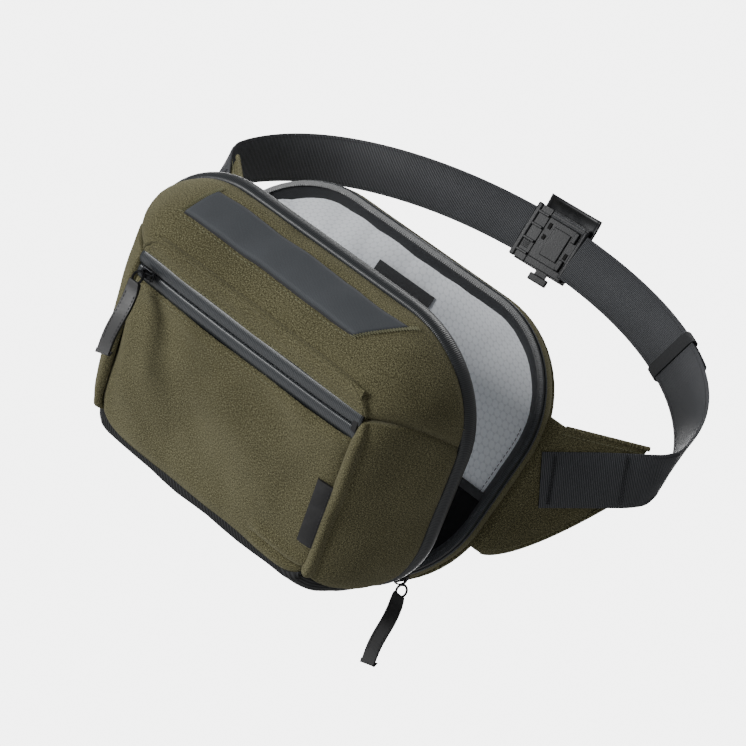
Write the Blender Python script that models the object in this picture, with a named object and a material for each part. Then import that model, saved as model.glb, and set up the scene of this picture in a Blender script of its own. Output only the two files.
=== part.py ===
"""Waist pack with an open clamshell, two belt wings, webbing belt and a two-part side-release buckle.

Frame: metres, +X to the right when facing the front, +Y towards the wearer, +Z up.
Origin: the centre of the back panel's flat rear face.
"""
import math

import bpy
from mathutils import Vector

# Overall body
RIM_WIDTH = 0.284          # width of the mouth, across the zip
RIM_HEIGHT = 0.212         # height of the mouth
RIM_TOP_RADIUS = 0.078
RIM_BOTTOM_RADIUS = 0.080
BACK_DEPTH = 0.022         # rear face to the mouth's plane
BACK_PAD = 0.010           # thickness of the padded back panel
SHELL_DEPTH = 0.062        # mouth's plane to the front face
SHELL_WALL = 0.0030
OPEN_ANGLE = math.radians(30)

# How far the front face steps in from the mouth on each side
FACE_SIDE_INSET = 0.045
FACE_TOP_INSET = 0.034
FACE_BOTTOM_INSET = 0.029
FACE_RADIUS = 0.020
FACE_CROWN = 0.004
FACE_WALL = 0.003

GAP = 0.0004               # clearance between pieces that touch when sewn
SEAM = 0.0010              # each panel's edge from the seam it is sewn at
PARTING = 0.0010           # clearance between the two halves of the mouth
TAPE_WIDTH = 0.0045        # visible width of the main zip's tape on each half
TAPE_WALL = 0.0030
COIL = 0.0018
LINING = 0.0010
BINDING_THICK = 0.0012

# Front pocket, heights above the hinge along the shell
POCKET_ZIP_LOW = 0.144
POCKET_ZIP_HIGH = 0.163
POCKET_COIL = 0.0022
ZIP_STOP = 0.090           # half length of the pocket's zip track

HANDLE_LENGTH = 0.150
HANDLE_WIDTH = 0.025
HANDLE_THICK = 0.0016
HANDLE_SLOPE = 0.88        # depth that each unit of the handle's width covers
HANDLE_LIFT = 0.0008       # daylight under the handle
HANDLE_START = 0.0255      # depth at which the handle's rear edge lies

LOOP_HEIGHT = 0.049
LOOP_MIDDLE = 0.083
LOOP_REACH = 0.014
LOOP_THICK = 0.0024

# Sliders and pulls
SLIDER_LENGTH = 0.011
SLIDER_WIDTH = 0.008
SLIDER_THICK = 0.0034
RING_RADIUS = 0.0042
RING_WIRE = 0.0009
PULL_LENGTH = 0.046
PULL_WIDTH = 0.010
PULL_THICK = 0.0026
POCKET_TRAVEL = 0.165

# Wings
WING_ANGLE = math.radians(39)
WING_LENGTH = 0.056
WING_THICK = 0.006
WING_TIP_THICK = 0.003
WING_ROOT_LOW, WING_ROOT_HIGH = -0.040, 0.060
WING_TIP_LOW, WING_TIP_HIGH = 0.035, 0.079
WING_HINGE_OFFSET = 0.0045  # hinge line outside the bag's side
WING_START = 0.0040         # wing's edge from its hinge line

# Belt
WEB_WIDTH = 0.038
WEB_THICK = 0.0016
WEB_ROOT_HEIGHT = 0.022
WEB_TIP_HEIGHT = 0.057
HOOP_DEPTH = 0.150
HOOP_RISE = 0.100
HOOP_CLEAR = 0.014          # belt's turn beyond the wing's tip
TAIL_LIFT = 0.0034          # tail layer outside the belt
TAIL_SHARE = 0.44           # part of the right belt, from the buckle, that the tail covers

# Buckle
BUCKLE_ANGLE = math.radians(97)
BUCKLE_HEIGHT = 0.046
BUCKLE_LEFT = 0.014
BUCKLE_RIGHT = 0.034
BUCKLE_THICK = 0.0045
COVER_THICK = 0.0030
COVER_BOW = 0.0030
SLOT_WIDTH = 0.0030
SLOT_HEIGHT = 0.0070
BUTTON_TRAVEL = 0.0030

CORNER_STEPS = 8
EDGE_STEPS = 4
HALF_RIM = RIM_HEIGHT / 2
MOUTH_Y = -BACK_DEPTH
HINGE = Vector((0.0, MOUTH_Y - PARTING, -HALF_RIM))


# ---------------------------------------------------------------- helpers
def clear_scene():
    for obj in list(bpy.data.objects):
        bpy.data.objects.remove(obj, do_unlink=True)


def material(name, colour, roughness, metallic=0.0):
    mat = bpy.data.materials.new(name)
    mat.use_nodes = True
    shader = mat.node_tree.nodes["Principled BSDF"]
    shader.inputs["Base Color"].default_value = (*colour, 1.0)
    shader.inputs["Roughness"].default_value = roughness
    shader.inputs["Metallic"].default_value = metallic
    return mat


def empty(name, place, parent=None, turn=(0, 0, 0)):
    pivot = bpy.data.objects.new(name, None)
    pivot.location = place
    pivot.rotation_euler = turn
    pivot.parent = parent
    bpy.context.collection.objects.link(pivot)
    return pivot


def outward(verts, faces):
    """Faces turned so that the enclosed volume is positive."""
    volume = 0.0
    for face in faces:
        first = Vector(verts[face[0]])
        for a, b in zip(face[1:], face[2:]):
            volume += first.dot(Vector(verts[a]).cross(Vector(verts[b])))
    return faces if volume > 0 else [tuple(reversed(face)) for face in faces]


def add(name, verts, faces, finish, parent=None):
    """One named object from points and faces, in its parent's frame."""
    mesh = bpy.data.meshes.new(name)
    mesh.from_pydata([tuple(v) for v in verts], [], outward(verts, faces))
    mesh.validate()
    mesh.shade_smooth()
    mesh.set_sharp_from_angle(angle=math.radians(35))
    obj = bpy.data.objects.new(name, mesh)
    obj.data.materials.append(FINISH[finish])
    obj.parent = parent
    bpy.context.collection.objects.link(obj)
    return obj


def rows_solid(rows, closed=False):
    """Closed solid from rows of cross-sections, each a loop of points of one length."""
    size = len(rows[0])
    verts = [p for row in rows for p in row]
    faces = []
    count = len(rows)
    for i in range(count if closed else count - 1):
        a, b = i * size, ((i + 1) % count) * size
        for j in range(size):
            k = (j + 1) % size
            faces.append((a + j, a + k, b + k, b + j))
    if not closed:
        faces.append(tuple(range(size - 1, -1, -1)))
        faces.append(tuple((count - 1) * size + j for j in range(size)))
    return verts, faces


def grid_solid(front, back):
    """Closed solid between two grids of points of the same size."""
    rows, cols = len(front), len(front[0])
    verts = [p for row in front for p in row] + [p for row in back for p in row]
    shift = rows * cols
    faces = []
    for i in range(rows - 1):
        for j in range(cols - 1):
            a, b = i * cols + j, i * cols + j + 1
            c, d = a + cols, b + cols
            faces.append((a, b, d, c))
            faces.append((shift + a, shift + c, shift + d, shift + b))
    edge = [j for j in range(cols - 1)]
    edge += [i * cols + cols - 1 for i in range(rows - 1)]
    edge += [(rows - 1) * cols + j for j in range(cols - 1, 0, -1)]
    edge += [i * cols for i in range(rows - 1, 0, -1)]
    for n, a in enumerate(edge):
        b = edge[(n + 1) % len(edge)]
        faces.append((a, shift + a, shift + b, b))
    return verts, faces


def cut(target, name, verts, faces):
    cutter = add(name, verts, faces, "plastic", target.parent)
    cutter.hide_render = True
    cutter.display_type = "WIRE"
    hole = target.modifiers.new(name, "BOOLEAN")
    hole.operation = "DIFFERENCE"
    hole.solver = "EXACT"
    hole.object = cutter


def block(centre, axes, size):
    """Box on three unit axes: points and outward faces."""
    a, b, c = (Vector(axis) * (length / 2) for axis, length in zip(axes, size))
    verts = [Vector(centre) + i * a + j * b + k * c
             for i in (-1, 1) for j in (-1, 1) for k in (-1, 1)]
    faces = [(0, 1, 3, 2), (4, 6, 7, 5), (0, 4, 5, 1), (2, 3, 7, 6), (0, 2, 6, 4), (1, 5, 7, 3)]
    return verts, faces


# ---------------------------------------------------------------- outlines
def rounded(half_width, low, high, low_radius, high_radius):
    """Rounded rectangle in X and Z, anticlockwise from the middle of its lower edge."""
    points = []

    def arc(cx, cz, radius, start):
        for step in range(CORNER_STEPS + 1):
            angle = math.radians(start + 90 * step / CORNER_STEPS)
            points.append((cx + radius * math.cos(angle), cz + radius * math.sin(angle)))

    def edge(x0, z0, x1, z1, first, last):
        for step in range(first, last):
            share = step / EDGE_STEPS
            points.append((x0 + (x1 - x0) * share, z0 + (z1 - z0) * share))

    lx, hx = half_width - low_radius, half_width - high_radius
    lz, hz = low + low_radius, high - high_radius
    edge(-lx, low, lx, low, EDGE_STEPS // 2, EDGE_STEPS)
    arc(lx, lz, low_radius, 270)
    edge(half_width, lz, half_width, hz, 1, EDGE_STEPS)
    arc(hx, hz, high_radius, 0)
    edge(hx, high, -hx, high, 1, EDGE_STEPS)
    arc(-hx, hz, high_radius, 90)
    edge(-half_width, hz, -half_width, lz, 1, EDGE_STEPS)
    arc(-lx, lz, low_radius, 180)
    edge(-lx, low, lx, low, 1, EDGE_STEPS // 2)
    return points


def mouth(inset=0.0):
    """Outline of the mouth, about its middle."""
    return rounded(RIM_WIDTH / 2 - inset, -HALF_RIM + inset, HALF_RIM - inset,
                   RIM_BOTTOM_RADIUS - inset, RIM_TOP_RADIUS - inset)


def bulge(share):
    """Share of the full step-in of the shell's side at a share of its depth."""
    def curve(s):
        return 0.3 * s + 0.7 * (1 - math.sqrt(1 - (0.97 * s) ** 2))
    return curve(share) / curve(1.0)


def shell_size(depth):
    """Half width, low, high and radii of the front shell's outer side at a depth."""
    share = min(depth / SHELL_DEPTH, 1.0)
    step = bulge(share)
    low_radius = RIM_BOTTOM_RADIUS + (FACE_RADIUS - RIM_BOTTOM_RADIUS) * share
    high_radius = RIM_TOP_RADIUS + (FACE_RADIUS - RIM_TOP_RADIUS) * share
    return (RIM_WIDTH / 2 - FACE_SIDE_INSET * step, FACE_BOTTOM_INSET * step,
            RIM_HEIGHT - FACE_TOP_INSET * step, low_radius, high_radius)


def shell_outline(depth, inset=0.0):
    half, low, high, low_radius, high_radius = shell_size(depth)
    return rounded(half - inset, low + inset, high - inset,
                   low_radius - inset, high_radius - inset)


OUTLINE = len(mouth())
QUARTER = OUTLINE // 4


# ---------------------------------------------------------------- wall pieces
def shell_band(depths, wall, first=0, last=None, inset=0.0, end_gap=0.0):
    """Wall of the front shell between two places on its outline, in the hinge's frame."""
    whole = last is None
    places = range(OUTLINE) if whole else range(first, last + 1)
    outer = [shell_outline(d, inset) for d in depths]
    inner = [shell_outline(d, inset + wall) for d in depths]

    def point(ring, level, place):
        x, z = ring[level][place % OUTLINE]
        if not whole and place in (first, last):
            other = place + 1 if place == first else place - 1
            nx, nz = ring[level][other % OUTLINE]
            length = math.hypot(nx - x, nz - z)
            x += (nx - x) * end_gap / length
            z += (nz - z) * end_gap / length
        return Vector((x, -depths[level], z))

    levels = range(len(depths))
    rows = []
    for place in places:
        rows.append([point(outer, n, place) for n in levels]
                    + [point(inner, n, place) for n in reversed(levels)])
    return rows_solid(rows, closed=whole)


def mouth_band(y_far, y_near, inset, wall):
    """Ring of the back half, between two depths, about the origin."""
    rows = []
    for (ox, oz), (ix, iz) in zip(mouth(inset), mouth(inset + wall)):
        rows.append([Vector((ox, y_far, oz)), Vector((ox, y_near, oz)),
                     Vector((ix, y_near, iz)), Vector((ix, y_far, iz))])
    return rows_solid(rows, closed=True)


def half_width_at(height, depth, inset=0.0):
    """Half width of the shell's outline at a height and a depth."""
    half, low, high, low_radius, high_radius = shell_size(depth)
    half, low, high = half - inset, low + inset, high - inset
    if height < low + low_radius:
        radius, drop = low_radius - inset, low + low_radius - height
    elif height > high - high_radius:
        radius, drop = high_radius - inset, height - high + high_radius
    else:
        return half
    drop = min(drop, radius)
    return half - radius + math.sqrt(radius * radius - drop * drop)


def face_depth(x, height):
    """Depth of the crowned front face."""
    half, low, high = shell_size(SHELL_DEPTH)[:3]
    across = x / half
    along = (2 * height - low - high) / (high - low)
    return SHELL_DEPTH + FACE_WALL + FACE_CROWN * (1 - across ** 2) * (1 - along ** 2)


def face_plate(low, high, rows, cols, wall=FACE_WALL, sink=0.0, narrow=0.0):
    """Plate of the front face between two heights."""
    front, back = [], []
    for i in range(rows + 1):
        height = low + (high - low) * i / rows
        half = half_width_at(height, SHELL_DEPTH) - narrow
        line = [half * (2 * j / cols - 1) for j in range(cols + 1)]
        front.append([Vector((x, -face_depth(x, height) + sink, height)) for x in line])
        back.append([Vector((x, -face_depth(x, height) + sink + wall, height)) for x in line])
    return grid_solid(front, back)


def ribbon(points, width, thick, up=Vector((0, 0, 1))):
    """Flat strap of a rectangular section along a line of points."""
    rows = []
    for n, point in enumerate(points):
        ahead = points[min(n + 1, len(points) - 1)] - points[max(n - 1, 0)]
        tangent = ahead.normalized()
        across = (up - tangent * up.dot(tangent)).normalized() * (width / 2)
        out = tangent.cross(across).normalized() * (thick / 2)
        rows.append([point - across - out, point + across - out,
                     point + across + out, point - across + out])
    return rows_solid(rows)


# ---------------------------------------------------------------- back half
def build_back():
    pad_y = -BACK_PAD
    rear, front = mouth(0.006), mouth(0.0)
    levels = [(0.0, rear), (pad_y * 0.5, front), (pad_y, front)]
    rows = [[Vector((x, y, z)) for x, z in ring] for y, ring in levels]
    add("back_panel", *rows_solid(rows), "olive")
    wall_y = MOUTH_Y + TAPE_WIDTH
    add("back_rim_wall", *mouth_band(pad_y - GAP, wall_y + GAP, 0.0, SHELL_WALL), "olive")
    add("back_zip_tape", *mouth_band(wall_y, MOUTH_Y, 0.0005, TAPE_WALL), "tape")
    coil_inset = 0.0005 + TAPE_WALL + GAP
    add("back_zip_coil", *mouth_band(MOUTH_Y + COIL, MOUTH_Y, coil_inset, COIL), "coil")
    bind_inset = SHELL_WALL + GAP
    add("lining_binding", *mouth_band(pad_y - LINING - 2 * GAP, wall_y + GAP,
                                      bind_inset, BINDING_THICK), "binding")
    lining = mouth(bind_inset)
    rows = [[Vector((x, y, z)) for x, z in lining] for y in (pad_y - GAP, pad_y - GAP - LINING)]
    add("back_lining", *rows_solid(rows), "lining")
    build_inner_pocket(pad_y - 2 * GAP - LINING)
    build_gusset(wall_y)


def mouth_half_width(height, inset):
    radius = (RIM_BOTTOM_RADIUS if height < 0 else RIM_TOP_RADIUS) - inset
    edge = HALF_RIM - inset
    drop = max(abs(height) - (edge - radius), 0.0)
    return RIM_WIDTH / 2 - inset - radius + math.sqrt(radius * radius - drop * drop)


def build_inner_pocket(y):
    """Flat mesh pocket across the lower half of the lining, its hem and the label strip above."""
    inset = SHELL_WALL + 2 * GAP + BINDING_THICK
    low, high, rows_count, cols = -HALF_RIM + 0.012, -0.020, 6, 6

    def sheet(bottom, top, near, thick):
        front, back = [], []
        for i in range(rows_count + 1):
            height = bottom + (top - bottom) * i / rows_count
            half = mouth_half_width(height, inset)
            line = [half * (2 * j / cols - 1) for j in range(cols + 1)]
            front.append([Vector((x, near - thick, height)) for x in line])
            back.append([Vector((x, near, height)) for x in line])
        return grid_solid(front, back)

    add("inner_pocket", *sheet(low, high, y - 0.0015, 0.0010), "mesh")
    add("inner_pocket_hem", *sheet(high + GAP, high + 0.010, y - 0.0012, 0.0016), "binding")
    add("inner_label_strip", *block((0.030, y - 0.0006, 0.056), ((1, 0, 0), (0, 1, 0), (0, 0, 1)),
                                    (0.060, 0.0008, 0.007)), "binding")


def build_gusset(wall_y):
    """Fabric hinge under the mouth, behind the hinge line."""
    half = RIM_WIDTH / 2 - RIM_BOTTOM_RADIUS
    thick = 0.0014
    low = -HALF_RIM - GAP - thick
    add("hinge_gusset", *block((0, (wall_y - BACK_PAD) / 2, low + thick / 2),
                               ((1, 0, 0), (0, 1, 0), (0, 0, 1)),
                               (2 * half, BACK_PAD, thick)), "base")


# ---------------------------------------------------------------- front shell
def build_shell(pivot):
    rim = TAPE_WIDTH
    depths = [rim + GAP] + [SHELL_DEPTH * s for s in (0.30, 0.55, 0.75, 0.90, 1.0)]
    side_low, side_high = QUARTER // 2 + 1, QUARTER + 3
    spans = {
        "side_panel_right": (side_low, side_high),
        "top_panel": (side_high, OUTLINE - side_high),
        "side_panel_left": (OUTLINE - side_high, OUTLINE - side_low),
        "base_panel": (OUTLINE - side_low, OUTLINE + side_low),
    }
    for name, (first, last) in spans.items():
        finish = "base" if name == "base_panel" else "olive"
        add(name, *shell_band(depths, SHELL_WALL, first, last, end_gap=SEAM), finish, pivot)
    add("front_rim_tape", *shell_band([0.0, rim / 2, rim], TAPE_WALL, inset=-0.0006), "tape", pivot)
    coil_inset = TAPE_WALL - 0.0006 + GAP
    add("front_zip_coil", *shell_band([0.0, COIL], COIL, inset=coil_inset), "coil", pivot)
    lined = [COIL + GAP] + depths[1:]
    add("front_lining", *shell_band(lined, LINING, inset=SHELL_WALL + GAP), "lining", pivot)
    build_face(pivot)
    build_handle(pivot)


def build_face(pivot):
    low, high = shell_size(SHELL_DEPTH)[1:3]
    middle = (POCKET_ZIP_LOW + POCKET_ZIP_HIGH) / 2
    add("front_panel", *face_plate(low, POCKET_ZIP_LOW - GAP, 8, 10,
                                   wall=FACE_WALL - GAP), "olive", pivot)
    add("upper_strip", *face_plate(POCKET_ZIP_HIGH + GAP, high, 4, 10,
                                   wall=FACE_WALL - GAP), "olive", pivot)
    half_coil = POCKET_COIL / 2
    add("pocket_tape_lower", *face_plate(POCKET_ZIP_LOW, middle - half_coil - GAP, 2, 10,
                                         wall=0.0016, sink=0.0010), "tape", pivot)
    add("pocket_tape_upper", *face_plate(middle + half_coil + GAP, POCKET_ZIP_HIGH, 2, 10,
                                         wall=0.0016, sink=0.0010), "tape", pivot)
    add("pocket_zip_coil", *face_plate(middle - half_coil, middle + half_coil, 1, 10,
                                       wall=0.0012, sink=0.0012), "coil", pivot)
    add("pocket_lining", *face_plate(low + 0.012, POCKET_ZIP_HIGH + 0.004, 5, 6, wall=LINING,
                                     sink=FACE_WALL + 0.003, narrow=0.012), "lining", pivot)
    height = LOOP_MIDDLE
    reach = half_width_at(height, SHELL_DEPTH) - LOOP_REACH / 2 - 0.003
    front = face_depth(reach - LOOP_REACH / 2, height + LOOP_HEIGHT / 2)
    add("loop_tab", *block((reach, -front - 0.0012 - LOOP_THICK / 2, height),
                           ((1, 0, 0), (0, 1, 0), (0, 0, 1)),
                           (LOOP_REACH, LOOP_THICK, LOOP_HEIGHT)), "rubber", pivot)
    add("pocket_zip_stop", *block((ZIP_STOP + 0.0022, -face_depth(ZIP_STOP, middle) - 0.0010, middle),
                                  ((1, 0, 0), (0, 1, 0), (0, 0, 1)),
                                  (0.0030, 0.0010, 0.008)), "rubber", pivot)


def build_handle(pivot):
    """Webbing grab handle that lies along the sloping top panel."""
    def top_at(depth):
        return shell_size(depth)[2]
    steps = 3
    depths = [HANDLE_START + HANDLE_WIDTH * HANDLE_SLOPE * n / steps for n in range(steps + 1)]
    count = 6
    centre = -0.005
    front, back = [], []
    for n in range(count + 1):
        share = 2 * n / count - 1
        x = centre + HANDLE_LENGTH / 2 * share
        lift = HANDLE_LIFT + 0.0012 * (1 - share ** 2)
        low = [Vector((x, -d - lift * 0.5, top_at(d) + lift + GAP)) for d in depths]
        back.append(low)
        front.append([p + Vector((0, -HANDLE_THICK * 0.5, HANDLE_THICK * 0.9)) for p in low])
    add("handle_band", *grid_solid(back, front), "webbing", pivot)


# ---------------------------------------------------------------- sliders and pulls
def slider_block(name, parent, centre, axes):
    size = (SLIDER_LENGTH, SLIDER_THICK, SLIDER_WIDTH)
    return add(name, *block(centre, axes, size), "metal", parent)


def ring(name, parent, axis, reach):
    """Wire ring hung on the slider's bridge, in the parent's frame, hanging down -Z."""
    sides, turns = 6, 16
    centre = Vector((0, 0, -reach))
    across = Vector(axis).cross(Vector((0, 0, 1))).normalized()
    flat = Vector((0, 0, 1))
    plane_x = Vector(axis)
    rows = []
    for turn in range(turns):
        angle = 2 * math.pi * turn / turns
        out = plane_x * math.cos(angle) + flat * math.sin(angle)
        middle = centre + out * RING_RADIUS
        rows.append([middle + RING_WIRE * (out * math.cos(2 * math.pi * s / sides)
                                           + across * math.sin(2 * math.pi * s / sides))
                     for s in range(sides)])
    return add(name, *rows_solid(rows, closed=True), "metal", parent)


def pull_tab(name, parent, axis, reach):
    """Folded strap below the ring, with a slanting tip."""
    across = Vector(axis)
    out = across.cross(Vector((0, 0, 1))).normalized()
    top = -reach - RING_RADIUS - RING_WIRE - GAP
    half = PULL_WIDTH / 2
    shape = [(-half, top), (-half, top - PULL_LENGTH), (half, top - PULL_LENGTH + PULL_WIDTH * 0.7),
             (half, top)]
    rows = [[across * x + Vector((0, 0, z)) + out * side * PULL_THICK / 2 for x, z in shape]
            for side in (-1, 1)]
    return add(name, *rows_solid(rows), "rubber", parent)


def build_pocket_pull(shell):
    middle = (POCKET_ZIP_LOW + POCKET_ZIP_HIGH) / 2
    x = -ZIP_STOP + SLIDER_LENGTH / 2
    surface = SHELL_DEPTH + FACE_WALL + FACE_CROWN
    out = surface + SLIDER_THICK / 2 + 0.0008
    slider = empty("pocket_slider_pivot", (x, -out, middle), shell)
    slider_block("pocket_slider", slider, (0, 0, 0), ((1, 0, 0), (0, 1, 0), (0, 0, 1)))
    drop = -(SLIDER_THICK / 2 + RING_RADIUS + RING_WIRE + 0.0006)
    pull = empty("pocket_pull_pivot", (0, drop, 0), slider, (-OPEN_ANGLE, 0, 0))
    ring("pocket_pull_ring", pull, (1, 0, 0), 0.0)
    pull_tab("pocket_pull_tab", pull, (1, 0, 0), 0.0)


def build_main_pull():
    angle = math.radians(-45)
    out = Vector((math.cos(angle), 0, math.sin(angle)))
    along = Vector((-out.z, 0, out.x))
    centre_x = RIM_WIDTH / 2 - RIM_BOTTOM_RADIUS
    centre_z = -HALF_RIM + RIM_BOTTOM_RADIUS
    surface = Vector((centre_x, 0, centre_z)) + out * RIM_BOTTOM_RADIUS
    slider_y = MOUTH_Y + SLIDER_WIDTH / 2
    middle = surface + out * (SLIDER_THICK / 2 + 0.0010) + Vector((0, slider_y, 0))
    add("main_slider", *block(middle, (along, Vector((0, 1, 0)), out),
                              (SLIDER_LENGTH, SLIDER_WIDTH, SLIDER_THICK)), "metal")
    hang = middle + out * (SLIDER_THICK / 2 + RING_RADIUS + RING_WIRE + 0.0006)
    pull = empty("main_pull_pivot", hang)
    ring("main_pull_ring", pull, (1, 0, 0), 0.0)
    pull_tab("main_pull_tab", pull, (1, 0, 0), 0.0)


# ---------------------------------------------------------------- wings and belt
def wing_axes(side):
    along = Vector((side * math.cos(WING_ANGLE), math.sin(WING_ANGLE), 0))
    out = Vector((side * math.sin(WING_ANGLE), -math.cos(WING_ANGLE), 0))
    return along, out


def wing_hinge(side):
    return Vector((side * (RIM_WIDTH / 2 + WING_HINGE_OFFSET), -BACK_PAD / 2, 0))


def build_wing(side, name, pivot):
    along, out = wing_axes(side)
    steps = 6
    front, back = [], []
    for i in range(steps + 1):
        share = i / steps
        low = WING_ROOT_LOW + (WING_TIP_LOW - WING_ROOT_LOW) * share ** 0.85
        high = WING_ROOT_HIGH + (WING_TIP_HIGH - WING_ROOT_HIGH) * share
        base = along * (WING_START + WING_LENGTH * share)
        heights = [low + (high - low) * n / 4 for n in range(5)]
        thick = WING_THICK + (WING_TIP_THICK - WING_THICK) * share
        front.append([base + out * (thick - WING_THICK / 2) + Vector((0, 0, h)) for h in heights])
        back.append([base - out * WING_THICK / 2 + Vector((0, 0, h)) for h in heights])
    add(name, *grid_solid(front, back), "olive", pivot)


def hoop(angle):
    """Centre line of the belt behind the wearer, from the right tip at 0 to the left at pi."""
    along, out = wing_axes(1)
    reach = WING_START + WING_LENGTH + HOOP_CLEAR
    tip = wing_hinge(1) + along * reach + out * (WING_THICK / 2 + WEB_THICK)
    rise = math.sin(angle) ** 0.9 if 0 < angle < math.pi else 0.0
    return Vector((tip.x * math.cos(angle), tip.y + HOOP_DEPTH * math.sin(angle),
                   WEB_TIP_HEIGHT + HOOP_RISE * rise))


def belt_line(side, stop):
    """Belt's middle line from the wing's root to the buckle."""
    along, out = wing_axes(side)
    lift = out * (WING_THICK / 2 + WEB_THICK / 2 + GAP)
    start = wing_hinge(side)
    line = [start + lift + along * (WING_START + 0.004 + WING_LENGTH * n / 4)
            + Vector((0, 0, WEB_ROOT_HEIGHT + (WEB_TIP_HEIGHT - WEB_ROOT_HEIGHT) * n / 4))
            for n in range(5)]
    first = math.radians(2)
    steps = 24
    for n in range(steps + 1):
        angle = first + (stop - first) * n / steps
        line.append(hoop(angle if side > 0 else math.pi - angle))
    return smooth(line)


def smooth(line, rounds=2):
    """Line with its corners relaxed, ends kept."""
    for _ in range(rounds):
        middle = [(line[n - 1] + line[n] * 2 + line[n + 1]) / 4 for n in range(1, len(line) - 1)]
        line = [line[0]] + middle + [line[-1]]
    return line


def buckle_frame():
    centre = hoop(BUCKLE_ANGLE)
    step = math.radians(1)
    left = (hoop(BUCKLE_ANGLE + step) - hoop(BUCKLE_ANGLE - step)).normalized()
    up = (Vector((0, 0, 1)) - left * left.z).normalized()
    inner = up.cross(left).normalized()
    return centre, left, up, inner


def relative(points, pivot_place):
    return [p - pivot_place for p in points]


def hoop_reach(length):
    """Angle that a length along the belt takes near the buckle."""
    step = math.radians(1)
    return length / (hoop(BUCKLE_ANGLE + step) - hoop(BUCKLE_ANGLE - step)).length * 2 * step


def build_belts(left_pivot, right_pivot):
    seat = 0.0040
    left_stop = math.pi - (BUCKLE_ANGLE + hoop_reach(BUCKLE_LEFT + seat))
    right_stop = BUCKLE_ANGLE - hoop_reach(BUCKLE_RIGHT + seat)
    left = relative(belt_line(-1, left_stop), wing_hinge(-1))
    right = relative(belt_line(1, right_stop), wing_hinge(1))
    for name, line, pivot in (("left_webbing", left, left_pivot),
                              ("right_webbing", right, right_pivot)):
        add(name, *ribbon(line, WEB_WIDTH, WEB_THICK), "webbing", pivot)
    first = int(len(right) * (1 - TAIL_SHARE))
    tail = []
    for n in range(first, len(right) - 1):
        tangent = (right[n + 1] - right[n - 1]).normalized()
        out = tangent.cross(Vector((0, 0, 1))).normalized()
        tail.append(right[n] + out * TAIL_LIFT)
    add("belt_tail", *ribbon(tail, WEB_WIDTH, WEB_THICK), "webbing", right_pivot)
    build_keeper(right, first + 3, right_pivot)


def build_keeper(line, place, pivot):
    """Elastic loop that holds the tail against the belt."""
    tangent = (line[place + 1] - line[place - 1]).normalized()
    up = (Vector((0, 0, 1)) - tangent * tangent.z).normalized()
    out = tangent.cross(up).normalized()
    centre = line[place] + out * TAIL_LIFT / 2
    width, wall = 0.012, 0.0012
    inner_u = WEB_WIDTH / 2 + GAP * 2
    inner_o = TAIL_LIFT / 2 + WEB_THICK / 2 + GAP * 2
    rows = []
    for su, so in ((-1, -1), (1, -1), (1, 1), (-1, 1)):
        inner = centre + up * su * inner_u + out * so * inner_o
        outer = centre + up * su * (inner_u + wall) + out * so * (inner_o + wall)
        rows.append([inner - tangent * width / 2, inner + tangent * width / 2,
                     outer + tangent * width / 2, outer - tangent * width / 2])
    add("strap_keeper", *rows_solid(rows, closed=True), "binding", pivot)


def build_buckle(left_pivot, right_pivot):
    centre, left, up, inner = buckle_frame()
    axes = (left, up, inner)
    here = centre - left_pivot.location
    middle = here + left * (GAP + BUCKLE_LEFT / 2)
    body = add("buckle_hook", *block(middle, axes, (BUCKLE_LEFT - GAP, BUCKLE_HEIGHT, BUCKLE_THICK)),
               "plastic", left_pivot)
    for n, offset in enumerate((-0.30, 0.30)):
        cut(body, "hook_slot_%d" % n,
            *block(middle + up * BUCKLE_HEIGHT * offset, axes, (SLOT_WIDTH, SLOT_HEIGHT, 0.02)))
    here = centre - right_pivot.location
    middle = here - left * (GAP + BUCKLE_RIGHT / 2)
    body = add("buckle_plate", *block(middle, axes, (BUCKLE_RIGHT - GAP, BUCKLE_HEIGHT, BUCKLE_THICK)),
               "plastic", right_pivot)
    for n, offset in enumerate((-0.30, 0.30)):
        place = middle - left * BUCKLE_RIGHT * 0.30 + up * BUCKLE_HEIGHT * offset
        cut(body, "plate_slot_%d" % n, *block(place, axes, (SLOT_WIDTH, SLOT_HEIGHT, 0.02)))
    build_cover(middle, axes, right_pivot)
    build_release(middle, axes, right_pivot)


def build_cover(middle, axes, pivot):
    """Bowed outer cover of the buckle, behind its plate."""
    left, up, inner = axes
    near = BUCKLE_THICK / 2 + GAP
    length, height = BUCKLE_RIGHT - 2 * GAP, BUCKLE_HEIGHT + 0.006
    steps = 6
    rows_in, rows_out = [], []
    for i in range(steps + 1):
        share = 2 * i / steps - 1
        bow = COVER_BOW * (1 - share ** 2)
        base = middle + left * length / 2 * share
        rows_in.append([base + up * height / 2 * s - inner * near for s in (-1, 0, 1)])
        rows_out.append([base + up * height / 2 * s - inner * (near + COVER_THICK + bow * (1 - 0.5 * s * s))
                         for s in (-1, 0, 1)])
    add("buckle_cover", *grid_solid(rows_in, rows_out), "plastic", pivot)


def build_release(middle, axes, right_pivot):
    """Push button under the lower edge of the plate."""
    left, up, inner = axes
    size = (0.016, 0.006, BUCKLE_THICK - 0.001)
    place = middle - up * (BUCKLE_HEIGHT / 2 + BUTTON_TRAVEL + size[1] / 2 + GAP)
    pivot = empty("buckle_button_pivot", place, right_pivot)
    add("buckle_button", *block((0, 0, 0), axes, size), "plastic", pivot)


# ---------------------------------------------------------------- assembly
def build_all():
    build_back()
    shell = empty("front_shell_pivot", HINGE, None, (OPEN_ANGLE, 0, 0))
    build_shell(shell)
    build_pocket_pull(shell)
    build_main_pull()
    left = empty("left_wing_pivot", wing_hinge(-1))
    right = empty("right_wing_pivot", wing_hinge(1))
    build_wing(-1, "left_wing", left)
    build_wing(1, "right_wing", right)
    build_belts(left, right)
    build_buckle(left, right)
    bpy.context.view_layer.update()


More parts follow.
